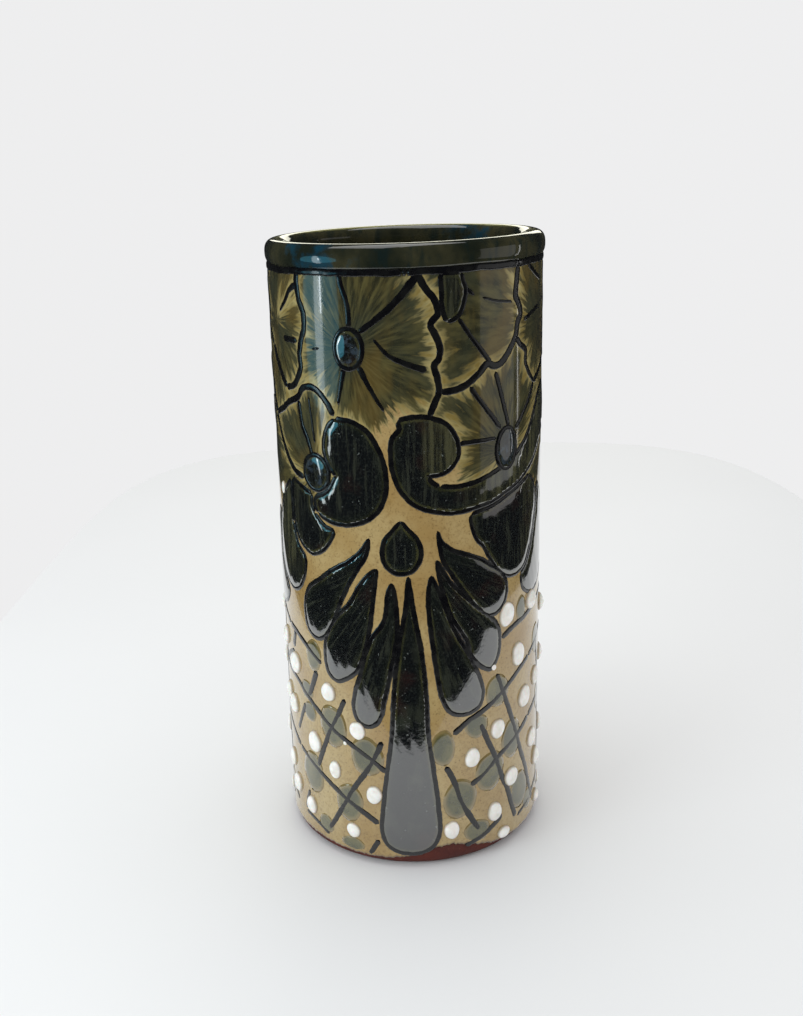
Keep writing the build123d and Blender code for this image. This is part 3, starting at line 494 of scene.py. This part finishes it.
def add_round(sheet, s, z, half_width, half_height, seed, profile, uneven, rings=8, columns=36):
    """A round body on the wall. profile gives (share of the radius, height) from the middle out."""
    angle = np.linspace(0, 2 * pi, columns, endpoint=False)
    bulge = 1 + uneven * (np.sin(2 * angle + seed) + 0.7 * np.sin(3 * angle + 2.1 * seed)
                          + 0.4 * np.sin(5 * angle + 3.3 * seed))
    vertices, edge = [place([s], [z], profile(0.0))], [[1.0]]
    for share in np.linspace(0, 1, rings + 1)[1:]:
        x = s + half_width * share * bulge * np.cos(angle)
        y = z + half_height * share * bulge * np.sin(angle)
        vertices.append(place(x, y, profile(share)))
        edge.append(np.full(columns, 1 - share))
    vertices += [place(x, y, -SINK), place([s], [z], -SINK)]
    edge += [np.zeros(columns), [0.0]]
    ring = [(j, (j + 1) % columns) for j in range(columns)]
    faces = [(0, 1 + a, 1 + b) for a, b in ring]
    faces += [(1 + a, 1 + d, 1 + c, 1 + b) for a, b, c, d in grid_faces(rings + 1, columns)]
    last = 1 + (rings + 1) * columns
    faces += [(last, last - columns + b, last - columns + a) for a, b in ring]
    sheet.add(np.concatenate(vertices), faces, edge=np.concatenate(edge))


def make_strokes(name, lines, height=STROKE, loops=(), width=0.0):
    """One object of strokes on both sides, and of outlines of some width round loops."""
    sheet = Sheet()
    for turn in SIDES:
        for i, (start, end, points) in enumerate(lines):
            add_stroke(sheet, start, end, [(s + turn, z) for s, z in points], i + turn, height)
        for i, loop in enumerate(loops):
            for k, points in enumerate(loop):
                moved = [(s + turn, z) for s, z in points]
                add_stroke(sheet, width, width, moved, 3 * i + k + turn, height)
    sheet.make(name, "outline_glaze")


def make_pools(name, loops, grain=None, thin=None):
    """One object of glaze pools on both sides."""
    sheet = Sheet()
    for turn in SIDES:
        for i, loop in enumerate(loops):
            add_pool(sheet, loop, turn, i + turn / 50, grain, thin)
    sheet.make(name, "dark_glaze")


# ------------ the glaze skin


def petal_labels():
    """Grid of 1 mm cells of the upper wall, each with the flower whose wash reaches it first."""
    columns = int(round(2 * HALF_ROUND))
    blocked = np.zeros((WASH_ROWS, columns), bool)
    for turn in SIDES:
        lines = [points for _, _, points in FLOWER_OUTLINES]
        lines += [points for loop in SCROLLS + RIM_DROPS for points in loop]
        for points in lines:
            for s, z in smooth_line(points, 0.4):
                if 0 <= int(z) - WASH_LOW < WASH_ROWS:
                    blocked[int(z) - WASH_LOW, int(s + turn) % columns] = True
    label = np.zeros((WASH_ROWS, columns), int)
    for turn in SIDES:
        for i, (s, z) in enumerate(PETAL_CENTRES):
            label[int(z) - WASH_LOW, int(s + turn) % columns] = 1 + i + (len(PETAL_CENTRES) if turn else 0)
    for obstacle in (blocked, np.zeros_like(blocked)):
        for _ in range(SPREAD):
            grown = label
            for near in (np.roll(label, 1, 1), np.roll(label, -1, 1),
                         np.vstack([label[1:], label[-1:]]), np.vstack([label[:1], label[:-1]])):
                grown = np.where((grown == 0) & ~obstacle, near, grown)
            label = grown
    return label


def glaze_edge(s):
    """Height where the outside glaze ends above the bare foot: ragged, higher at the front right."""
    turn = s / FOOT_R
    rise = 4.6 * np.exp(-(((s - 12) / 14) ** 2)) + 2.5 * np.exp(-(((s - 150) / 30) ** 2))
    ragged = 0.45 * wave(s * 0.9, 1) + 0.3 * wave(s * 2.6, 2) + 0.4 * np.sin(5 * turn)
    return 3.4 + rise + ragged


def make_skin():
    """The outside glaze: a thin closed shell from the ragged edge above the foot to the lip."""
    turn = np.linspace(0, 2 * pi, AROUND, endpoint=False)
    s = turn * FOOT_R
    share = np.linspace(0, 1, UP)
    share = 0.75 * share + 0.25 * share**3  # the rows lie closer together near the foot
    foot = glaze_edge(np.where(s > 1.5 * HALF_ROUND, s - 2 * HALF_ROUND, s))
    top = LIP_FOOT + TUCK + FOOT_R * np.sin(turn) * sin(LIP_TILT)
    z = foot + (top - foot) * share[:, None]
    around = np.broadcast_to(s, z.shape)
    over = z - foot
    height = -SKIN_EDGE + SKIN_EDGE * (1 - np.exp(-over / 0.5)) + 0.16 * np.exp(-(((over - 1.2) / 0.9) ** 2))
    outer = place(around, z, height).reshape(-1, 3)
    inner = np.concatenate([place(s, foot, -SKIN), place(s, top, -SKIN)])
    faces = grid_faces(UP, AROUND)
    last_row, low_inner, high_inner = (UP - 1) * AROUND, UP * AROUND, (UP + 1) * AROUND
    for j in range(AROUND):
        k = (j + 1) % AROUND
        a, b, c, d = low_inner + j, low_inner + k, high_inner + j, high_inner + k
        faces += [(a, b, k, j), (last_row + j, last_row + k, d, c), (b, a, c, d)]
    flat = np.stack([around.ravel(), z.ravel()], 1)
    lines = [points for _, _, points in FLOWER_OUTLINES] + [points for loop in SCROLLS for points in loop]
    outline = np.concatenate([smooth_line([(x + side, y) for x, y in points], 1.0)
                              for side in SIDES for points in lines])
    outline[:, 0] %= 2 * HALF_ROUND
    outline = np.concatenate([outline, outline - (2 * HALF_ROUND, 0), outline + (2 * HALF_ROUND, 0)])
    margin = 20
    outline = outline[(outline[:, 0] > -margin) & (outline[:, 0] < 2 * HALF_ROUND + margin)]
    edge = np.full(len(flat), FAR)
    upper = flat[:, 1] > WASH_LOW - 2
    edge[upper] = distance_to(flat[upper], outline)
    label = petal_labels()
    row = np.clip(flat[:, 1].astype(int) - WASH_LOW, 0, WASH_ROWS - 1)
    owner = label[row, flat[:, 0].astype(int) % label.shape[1]]
    centres = np.array([(x + side, y) for side in SIDES for x, y in PETAL_CENTRES])
    away = flat - centres[np.clip(owner - 1, 0, len(centres) - 1)]
    away[:, 0] = (away[:, 0] + HALF_ROUND) % (2 * HALF_ROUND) - HALF_ROUND
    ray = np.arctan2(away[:, 0], away[:, 1])
    core = np.linalg.norm(away, axis=1)
    streak = np.stack([np.cos(ray) * 7, np.sin(ray) * 7, core * 0.06 + owner * 3.0], 1)
    middle = np.abs((flat[:, 0] + HALF_ROUND / 2) % HALF_ROUND - HALF_ROUND / 2)
    wash_foot = 173 - 33 * np.clip((middle - 8) / 16, 0, 1)  # higher over the fan
    zone = np.clip((flat[:, 1] - wash_foot) / 16 + 0.5, 0, 1)
    fields = {"edge": edge, "streak": streak, "zone": zone, "core": core, "over": over.ravel(),
              "neck": (z - (top - TUCK)).ravel()}
    for name, values in fields.items():
        hidden = np.full((len(inner),) + values.shape[1:], FAR if name == "edge" else 0.0)
        fields[name] = np.concatenate([values, hidden])
    sheet = Sheet()
    sheet.add(np.concatenate([outer, inner]), faces, **fields)
    sheet.make("outside_glaze", "honey_glaze")


def make_lathe(name, slot, profile, uneven=0.0, tilted=False, columns=288):
    """A closed ring turned from a closed profile of (radius, height) points.

    Its fields mark the bare top edge of the lip, where the glaze breaks thin and a highlight is painted on,
    and the teal patches at the front left and the back right, a painted reflection of blue light.
    """
    profile = np.array(profile, float)
    turn = np.linspace(0, 2 * pi, columns, endpoint=False)
    radius = profile[:, :1] + uneven * wave(turn * 2, profile[:, 1:] * 0.02)
    z = np.broadcast_to(profile[:, 1:], radius.shape)
    x, y = radius * np.sin(turn), -radius * np.cos(turn)
    if tilted:
        x, z = x * cos(LIP_TILT) - z * sin(LIP_TILT), x * sin(LIP_TILT) + z * cos(LIP_TILT) + LIP_FOOT
    crest = 0 * z
    # Painted teal reflection of blue light on the glaze, at the front left and the back right.
    front_left, back_right = -0.70, 2.5
    wrap = (turn + pi) % (2 * pi) - pi
    cool = np.exp(-(((wrap - front_left) / 0.42) ** 2)) + np.exp(-(((wrap - back_right) / 0.3) ** 2)) + 0 * z
    # Top edge of the lip: the glaze breaks thin there, and a highlight is painted on it.
    if tilted:
        away = (profile - (FOOT_R - LIP_WIDTH * 0.62, LIP_HEIGHT)) / (2.0, 0.8)
        crest = np.exp(-(away**2).sum(1))[:, None] + 0 * z
    sheet = Sheet()
    faces = grid_faces(len(profile), columns, joined=True)
    sheet.add(np.stack([x, y, z], -1).reshape(-1, 3) * MM, faces, crest=crest.ravel(), cool=cool.ravel())
    sheet.make(name, slot)


def lip_profile():
    """Section of the rolled lip: a soft upright oval."""
    half = LIP_WIDTH / 2, LIP_HEIGHT / 2
    return superellipse(*half, 2 / 2.5, 56) + (FOOT_R - half[0], half[1])


def lining_profile():
    """Section of the inside glaze from the middle of the floor to under the lip."""
    corner = 6.0
    angle = np.linspace(-pi / 2, 0, 12)
    bend = np.stack([INSIDE_R - corner + corner * np.cos(angle),
                     FLOOR_Z + corner + corner * np.sin(angle)], 1)
    top = LIP_FOOT + 2
    steps = np.linspace(FLOOR_Z + corner + 4, top, 60)
    wall = np.stack([INSIDE_R + 0.05 * np.sin(steps / 2.1) + 0.04 * np.sin(steps / 0.9), steps], 1)
    back = [(INSIDE_R + 0.35, top), (INSIDE_R + 0.35, FLOOR_Z - 0.3), (0.02, FLOOR_Z - 0.3)]
    return np.concatenate([[(0.02, FLOOR_Z)], [(12, FLOOR_Z + 0.1)], [(25, FLOOR_Z)], bend, wall, back])


def foot_profile():
    """Section of the bare foot ring, up to under the glaze."""
    angle = np.linspace(-pi / 2, 0, 14)
    bend = np.stack([CLAY_R - HEEL + HEEL * np.cos(angle), HEEL + HEEL * np.sin(angle)], 1)
    ring = [(36.0, 2.0), (36.1, 1.0), (36.9, 0.0), (40, 0.0)]
    hidden = [(CLAY_R + 0.02, 12), (CLAY_R - 2, 12), (CLAY_R - 2, 5.5), (36, 5.5)]
    return np.concatenate([ring, bend, [(CLAY_R, 8)], hidden])


# ------------ materials


MATERIALS = {}  # by name, which is also the name of the slot


def paint(red, green, blue):
    """Linear colour of a display colour."""
    return tuple(c / 12.92 if c <= 0.04045 else ((c + 0.055) / 1.055) ** 2.4
                 for c in (red / 255, green / 255, blue / 255)) + (1.0,)


def new_material(name, roughness, coat=0.0, coat_roughness=0.05, specular=0.5):
    """Start a material; returns its node tree, its Principled shader and the places on its surface."""
    material = MATERIALS[name] = bpy.data.materials.new(name)
    material.use_nodes = True
    tree = material.node_tree
    shader = tree.nodes["Principled BSDF"]
    shader.inputs["Roughness"].default_value = roughness
    shader.inputs["Coat Weight"].default_value = coat
    shader.inputs["Coat Roughness"].default_value = coat_roughness
    shader.inputs["Specular IOR Level"].default_value = specular
    return tree, shader, node(tree, "ShaderNodeTexCoord").outputs["Object"]


def feed(tree, socket, value):
    """Give a socket a number or colour, or link another node's output to it."""
    if isinstance(value, bpy.types.NodeSocket):
        tree.links.new(value, socket)
    else:
        socket.default_value = value


def node(tree, kind, inputs=None, **settings):
    """A node with its settings, and inputs that are numbers or other nodes' outputs."""
    made = tree.nodes.new(kind)
    for name, value in settings.items():
        setattr(made, name, value)
    for name, value in (inputs or {}).items():
        feed(tree, made.inputs[name], value)
    return made


def field(tree, name, output="Fac"):
    """A mesh attribute."""
    return node(tree, "ShaderNodeAttribute", attribute_name=name).outputs[output]


def squashed(tree, where, height):
    """Places with their height scaled, so that textures run in upright streaks."""
    return node(tree, "ShaderNodeMapping", {"Vector": where, "Scale": (1, 1, height)}).outputs[0]


def noise(tree, vector, scale, detail=3.0, roughness=0.5):
    """Fractal noise between 0 and 1."""
    return node(tree, "ShaderNodeTexNoise", {"Vector": vector, "Scale": scale, "Detail": detail,
                                             "Roughness": roughness}).outputs["Fac"]


def maths(tree, operation, first, second=0.0, third=0.0):
    """One arithmetic step."""
    made = node(tree, "ShaderNodeMath", operation=operation)
    for socket, value in zip(made.inputs, (first, second, third)):
        feed(tree, socket, value)
    return made.outputs[0]


def stirred(tree, value, texture, amount):
    """A value made uneven by a texture around its middle."""
    return maths(tree, "MULTIPLY_ADD", maths(tree, "SUBTRACT", texture, 0.5), amount, value)


def ramp(tree, value, low, high, to_low=0.0, to_high=1.0):
    """A smooth step of a value from low to high."""
    return node(tree, "ShaderNodeMapRange",
                {"Value": value, "From Min": low, "From Max": high, "To Min": to_low, "To Max": to_high},
                interpolation_type="SMOOTHSTEP").outputs[0]


def blend(tree, factor, first, second):
    """A mix of two colours."""
    made = node(tree, "ShaderNodeMix", data_type="RGBA")
    for index, value in ((0, factor), (6, first), (7, second)):
        feed(tree, made.inputs[index], value)
    return made.outputs[2]


def layers(tree, colour, *coats):
    """A colour under coats of (tint, value, low, high, most).

    Each tint covers what is under it where its value goes from low to high, at most by the share most.
    """
    for tint, value, low, high, most in coats:
        colour = blend(tree, ramp(tree, value, low, high, 0.0, most), colour, paint(*tint))
    return colour


def complete(tree, shader, colour, relief, distance, strength):
    """Give a shader its colour and its fine surface relief in metres."""
    feed(tree, shader.inputs["Base Color"], colour)
    made = node(tree, "ShaderNodeBump", {"Height": relief, "Distance": distance, "Strength": strength})
    tree.links.new(made.outputs[0], shader.inputs["Normal"])


def honey_glaze():
    """Speckled honey-cream glaze with olive brush washes that feather out towards the petal outlines."""
    tree, shader, where = new_material("honey_glaze", 0.10, coat=0.8, coat_roughness=0.03)
    edge, zone, core, over, neck = (field(tree, name) for name in ("edge", "zone", "core", "over", "neck"))
    streak = field(tree, "streak", "Vector")
    cloud, drip = noise(tree, where, 45, 4), noise(tree, squashed(tree, where, 0.12), 260, 3)
    grain, specks = noise(tree, where, 700, 3, 0.7), noise(tree, where, 1500, 2, 0.6)
    base = layers(tree, paint(150, 123, 74), ((170, 149, 102), cloud, 0.3, 0.7, 1.0),
                  ((108, 82, 44), grain, 0.45, 0.75, 0.45), ((72, 50, 30), specks, 0.60, 0.70, 0.5))
    fine, broad = noise(tree, streak, 1.9, 4, 0.55), noise(tree, streak, 0.8, 2)
    zone = ramp(tree, stirred(tree, zone, fine, 1.8), 0.35, 0.65)
    yellow = layers(tree, paint(108, 94, 44), ((180, 170, 118), fine, 0.3, 0.7, 1.0))
    base = blend(tree, maths(tree, "MULTIPLY", zone, 0.85), base, yellow)
    reach = stirred(tree, stirred(tree, edge, fine, 22.0), broad, 12.0)
    wash = maths(tree, "MULTIPLY", ramp(tree, reach, 0.0, 5.0), zone)
    light = maths(tree, "MULTIPLY", ramp(tree, fine, 0.35, 0.7), ramp(tree, core, 3.0, 15.0, 0.25, 1.0))
    olive = blend(tree, light, paint(24, 28, 20), paint(72, 67, 35))
    patches = noise(tree, squashed(tree, where, 0.5), 70, 3)
    olive = layers(tree, olive, ((84, 72, 34), drip, 0.5, 0.72, 0.4), ((34, 42, 34), cloud, 0.40, 0.60, 0.8),
                   ((84, 69, 32), patches, 0.5, 0.66, 0.65))
    colour = blend(tree, maths(tree, "MULTIPLY", wash, 0.94), base, olive)
    halo = maths(tree, "MULTIPLY", ramp(tree, edge, 2.1, 1.3), zone)
    colour = blend(tree, maths(tree, "MULTIPLY", halo, 0.4), colour, paint(160, 144, 92))
    colour = layers(tree, colour, ((24, 26, 18), neck, -0.8, 0.2, 1.0), ((62, 40, 28), over, 2.0, 0.0, 0.8))
    complete(tree, shader, colour, maths(tree, "ADD", noise(tree, where, 120, 2), grain), 0.00004, 0.6)


def dark_glaze():
    """Deep green-black glaze that thins to olive at its edges and where the brush was lifted."""
    tree, shader, where = new_material("dark_glaze", 0.07, coat=1.0, coat_roughness=0.03)
    shader.inputs["IOR"].default_value = 1.85
    shader.inputs["Coat IOR"].default_value = 1.95
    edge, thin, streak = field(tree, "edge"), field(tree, "thin"), field(tree, "streak", "Vector")
    fine, rust = noise(tree, streak, 0.55, 4, 0.6), noise(tree, where, 60, 3)
    depth = stirred(tree, edge, fine, 1.2)
    colour = layers(tree, paint(26, 28, 14), ((60, 60, 32), rust, 0.40, 0.60, 1.0),
                    ((14, 18, 14), depth, 1.1, 1.7, 1.0), ((7, 10, 11), depth, 1.6, 4.0, 1.0),
                    ((45, 48, 38), fine, 0.50, 0.66, 0.8), ((42, 21, 16), rust, 0.55, 0.70, 0.5))
    washed = layers(tree, paint(28, 30, 20), ((76, 75, 50), fine, 0.38, 0.62, 1.0))
    colour = blend(tree, thin, colour, washed)
    pits, dust = noise(tree, where, 420, 3, 0.6), noise(tree, where, 1100, 3, 0.7)
    # The pale grey specks are pinholes in the glaze, brightened as painted glints of light.
    colour = layers(tree, colour, ((50, 54, 48), dust, 0.5, 0.7, 0.5),
                    ((126, 132, 126), noise(tree, where, 850, 1), 0.73, 0.78, 0.5))
    curd = ramp(tree, noise(tree, where, 520, 4, 0.6), 0.48, 0.62)
    curd = maths(tree, "MULTIPLY", maths(tree, "MULTIPLY", curd, field(tree, "mottle")), 0.6)
    colour = blend(tree, curd, colour, paint(56, 68, 78))
    relief = maths(tree, "MULTIPLY_ADD", noise(tree, where, 130, 2), 1.5, pits)
    complete(tree, shader, colour, relief, 0.00007, 0.7)


def outline_glaze():
    """Near-black brushed colour under a thin gloss."""
    tree, shader, where = new_material("outline_glaze", 0.18, coat=0.6, coat_roughness=0.06)
    patch = noise(tree, where, 260, 3)
    colour = layers(tree, paint(8, 8, 11), ((18, 18, 17), patch, 0.35, 0.7, 1.0))
    feed(tree, shader.inputs["Roughness"], ramp(tree, patch, 0.3, 0.7, 0.16, 0.36))
    complete(tree, shader, colour, noise(tree, where, 900, 3), 0.00004, 0.7)


def olive_glaze():
    """Translucent grey-olive of the round spots, thinner at the rim of each brush dab."""
    tree, shader, where = new_material("olive_glaze", 0.10, coat=0.9, coat_roughness=0.03)
    shader.inputs["IOR"].default_value = 1.65
    shader.inputs["Coat IOR"].default_value = 1.7
    cloud, grain = noise(tree, where, 160, 3), noise(tree, where, 800, 3, 0.7)
    colour = layers(tree, paint(62, 64, 36), ((94, 90, 52), cloud, 0.3, 0.7, 1.0),
                    ((40, 38, 24), grain, 0.5, 0.75, 0.45),
                    ((140, 120, 76), field(tree, "edge"), 0.34, 0.0, 0.8))
    complete(tree, shader, colour, grain, 0.00003, 0.5)


def white_enamel():
    """Thick white enamel, a little warmer where it thins at the rim of each dot, with painted brown shade
    round the foot of each dot.
    """
    tree, shader, where = new_material("white_enamel", 0.2, coat=0.5, coat_roughness=0.06)
    cloud = noise(tree, where, 350, 3)
    # The brown rim is thin enamel and painted shade round the foot of the dot.
    colour = layers(tree, paint(240, 238, 232), ((224, 221, 210), cloud, 0.3, 0.7, 1.0),
                    ((150, 128, 88), field(tree, "edge"), 0.2, 0.0, 0.85))
    shader.inputs["Subsurface Weight"].default_value = 0.12
    shader.inputs["Subsurface Scale"].default_value = 0.001
    complete(tree, shader, colour, cloud, 0.00008, 0.6)


def green_glaze():
    """Dark bottle-green glaze of the lip and the inside, with painted teal reflections, and thinner on the
    top edge of the lip, where a highlight is painted.
    """
    tree, shader, where = new_material("green_glaze", 0.08, coat=0.8, coat_roughness=0.03)
    cloud, streaks = noise(tree, where, 60, 4), noise(tree, squashed(tree, where, 0.25), 380, 3)
    # Painted teal reflection of blue light.
    cool = stirred(tree, field(tree, "cool"), noise(tree, where, 120, 3, 0.6), 3.2)
    # Pale top edge of the lip: thin glaze with a painted highlight.
    crest = stirred(tree, field(tree, "crest"), cloud, 1.2)
    colour = layers(tree, paint(24, 28, 20), ((56, 54, 36), cloud, 0.35, 0.65, 1.0),
                    ((14, 28, 28), streaks, 0.45, 0.75, 0.7), ((8, 52, 68), cool, 0.6, 1.3, 0.8),
                    ((140, 138, 90), crest, 0.3, 1.0, 1.0))
    complete(tree, shader, colour, maths(tree, "ADD", cloud, streaks), 0.00008, 0.6)


def bare_clay():
    """Fired red-brown clay with fine grit, dust and darker iron specks."""
    tree, shader, where = new_material("bare_clay", 0.8, specular=0.3)
    cloud, grit = noise(tree, where, 90, 4), noise(tree, where, 1300, 4, 0.7)
    colour = layers(tree, paint(74, 32, 27), ((96, 46, 36), cloud, 0.3, 0.7, 1.0),
                    ((38, 24, 21), grit, 0.6, 0.72, 0.7), ((134, 88, 68), grit, 0.4, 0.28, 0.5))
    feed(tree, shader.inputs["Roughness"], ramp(tree, cloud, 0.3, 0.7, 0.6, 0.9))
    complete(tree, shader, colour, grit, 0.0002, 0.7)


# ------------ build the vase

for make_material in (honey_glaze, dark_glaze, outline_glaze, olive_glaze, white_enamel, green_glaze,
                      bare_clay):
    make_material()

for name in ("clay_wall", "clay_floor", "clay_lip"):
    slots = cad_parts[name].material_slots
    if not slots:
        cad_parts[name].data.materials.append(MATERIALS["bare_clay"])
    for slot in slots:
        slot.material = MATERIALS["bare_clay"]

make_skin()
make_lathe("clay_foot", "bare_clay", foot_profile())
make_lathe("inside_glaze", "green_glaze", lining_profile())
make_lathe("lip_glaze", "green_glaze", lip_profile(), uneven=0.12, tilted=True)

lip_ring = Sheet()
around = np.linspace(0, 2 * HALF_ROUND, 400, endpoint=False)
side_on = np.sin(around / FOOT_R)
line_z = LIP_FOOT + 0.1 + FOOT_R * side_on * sin(LIP_TILT) + 0.25 * wave(side_on * 7, 3)
add_stroke(lip_ring, 2.4, 2.4, np.stack([around, line_z], 1), 2, height=0.35, closed=True)
lip_ring.make("lip_line", "outline_glaze")

make_strokes("flower_outlines", FLOWER_OUTLINES)
make_strokes("flower_spokes", FLOWER_SPOKES)
make_strokes("lattice_lines", LATTICE_LINES, height=0.16)
for name, loops, width, grain, thin, lines in (
        ("rim_drop", RIM_DROPS, FLOWER_LINE, None, lambda s, z: 0.3 + 0 * s, []),
        ("scroll", SCROLLS, FLOWER_LINE, None,
         lambda s, z: 0.75 * np.clip((s - 3) / 5, 0, 1) * np.clip((z - 151) / 4, 0, 1)
         + 0.85 * np.clip((s - 17) / 16, 0, 1), SCROLL_LINES),
        ("teardrop", TEARDROP, FAN_LINE, None, None, []),
        ("fan_petal", FAN_PETALS, FAN_LINE, (-1, 128), None, []),
        ("paddle", PADDLE, FAN_LINE, (-1, 300), None, []),
        ("pendant", PENDANTS, PENDANT_LINE, None,
         lambda s, z: np.clip((np.abs(s) - 44) / 10, 0, 1) * np.clip((z - 106) / 14, 0, 0.8), [])):
    make_pools(name + "_glaze", loops, grain, thin)
    make_strokes(name + "_outlines", lines, loops=loops, width=width)

eyes, rings = Sheet(), Sheet()
spots, dots = Sheet(), Sheet()
for turn in SIDES:
    for i, (s, z, half_width, half_height) in enumerate(EYES):
        oval = [(s + half_width * cos(a), z + half_height * sin(a)) for a in np.linspace(0, 2 * pi, 17)]
        add_pool(eyes, [oval], turn, i + 11.0, height=0.55, mottle=1.0, pitch=0.5)
        angle = np.linspace(0, 2 * pi, 64, endpoint=False)
        ring = np.stack([s + turn + half_width * np.cos(angle), z + half_height * np.sin(angle)], 1)
        add_stroke(rings, EYE_LINE, EYE_LINE, ring, i + 3.0, height=0.4, closed=True)
    for i, (s, z, half_width, half_height) in enumerate(LATTICE_SPOTS):
        add_round(spots, s + turn, z, half_width, half_height, i + turn,
                  lambda share: 0.02 + 0.1 * (1 - share**6), 0.035, rings=6)
    for i, (s, z, half_width, half_height) in enumerate(WHITE_DOTS):
        rise = min(1.7, 0.5 * half_width) * (1 + 0.12 * sin(i * 2.4 + turn))
        peak = 0.35 * max(0.0, sin(i * 1.9 + turn)) * min(1.0, half_width / 3)
        add_round(dots, s + turn, z, half_width, half_height, i * 1.3 + turn,
                  lambda share, rise=rise, peak=peak: rise * max(0.0, 1 - share**2.4) ** 0.62
                  + peak * np.exp(-((share / 0.22) ** 2)), 0.03, rings=10)
eyes.make("flower_eyes", "dark_glaze")
rings.make("flower_rings", "outline_glaze")
spots.make("lattice_spots", "olive_glaze")
dots.make("white_dots", "white_enamel")


# ------------ studio


def make_floor():
    """A pale table top with a rounded front edge just outside the view."""
    count, thickness = 160, 0.02
    top = np.zeros((count, 3))
    top[:, :2] = superellipse(0.27, 0.369, 2 / 4, count) + (0.03, 0.22)
    low = top - (0, 0, thickness)
    faces = [tuple(range(count)), tuple(range(count, 2 * count))[::-1]]
    faces += [(a, d, c, b) for a, b, c, d in grid_faces(2, count)]
    mesh = bpy.data.meshes.new("floor")
    mesh.from_pydata(np.concatenate([top, low]).tolist(), [], faces)
    tree, shader, where = new_material("floor", 0.6)
    colour = blend(tree, noise(tree, where, 6, 2), paint(229, 229, 227), paint(233, 233, 231))
    feed(tree, shader.inputs["Base Color"], colour)
    mesh.materials.append(MATERIALS["floor"])
    floor = bpy.data.objects.new("floor", mesh)
    bpy.context.scene.collection.objects.link(floor)


def make_light(name, position, aim, width, height, power, colour=(1, 1, 1), shape="RECTANGLE",
               mirrored=True):
    """A soft light that faces a height on the axis and stays out of the view.

    mirrored says whether the glazes show it as a reflection.
    """
    data = bpy.data.lights.new(name, "AREA")
    data.shape = shape
    data.size, data.size_y = width, height
    data.energy = power
    data.color = colour
    light = bpy.data.objects.new(name, data)
    light.location = position
    light.rotation_euler = (Vector((0, 0, aim)) - Vector(position)).to_track_quat("-Z", "Y").to_euler()
    light.visible_camera = False
    light.visible_glossy = mirrored
    bpy.context.scene.collection.objects.link(light)


def make_world():
    """Pale grey to the eye, soft light on the clay, and a dim room in the reflections."""
    world = bpy.data.worlds.new("world")
    bpy.context.scene.world = world
    world.use_nodes = True
    tree = world.node_tree
    path = node(tree, "ShaderNodeLightPath")
    shine = blend(tree, path.outputs["Is Glossy Ray"], (0.86, 0.87, 0.9, 1), (0.016, 0.017, 0.018, 1))
    seen = blend(tree, path.outputs["Is Camera Ray"], shine, (0.855, 0.855, 0.86, 1))
    tree.links.new(seen, tree.nodes["Background"].inputs["Color"])


bpy.context.scene.view_settings.view_transform = "Standard"
make_floor()
make_world()
make_light("left_window", (-0.56, -0.17, 0.12), 0.12, 0.08, 0.24, 0.11, (0.86, 0.95, 0.96), "ELLIPSE")
make_light("left_gleam", (-0.56, -0.20, 0.16), 0.12, 0.012, 0.05, 0.02, (0.86, 0.93, 1.0))
make_light("left_sky", (-0.60, -0.20, 0.13), 0.12, 0.40, 0.20, 0.27, (0.10, 0.46, 0.62), "ELLIPSE")
make_light("left_fill", (-0.7, -0.5, 0.3), 0.1, 0.4, 0.4, 2.4, (0.86, 0.94, 1.0), mirrored=False)
make_light("right_card", (0.62, -0.13, 0.16), 0.12, 0.42, 0.40, 0.17)
make_light("right_strip", (0.60, 0.12, 0.14), 0.12, 0.010, 0.30, 0.03)
make_light("top_soft", (-0.1, 0.1, 0.9), 0.1, 0.7, 0.5, 2.0)
make_light("back_window", (0.05, 0.9, 0.44), 0.2, 0.6, 0.20, 0.7, (1.0, 0.98, 0.82))
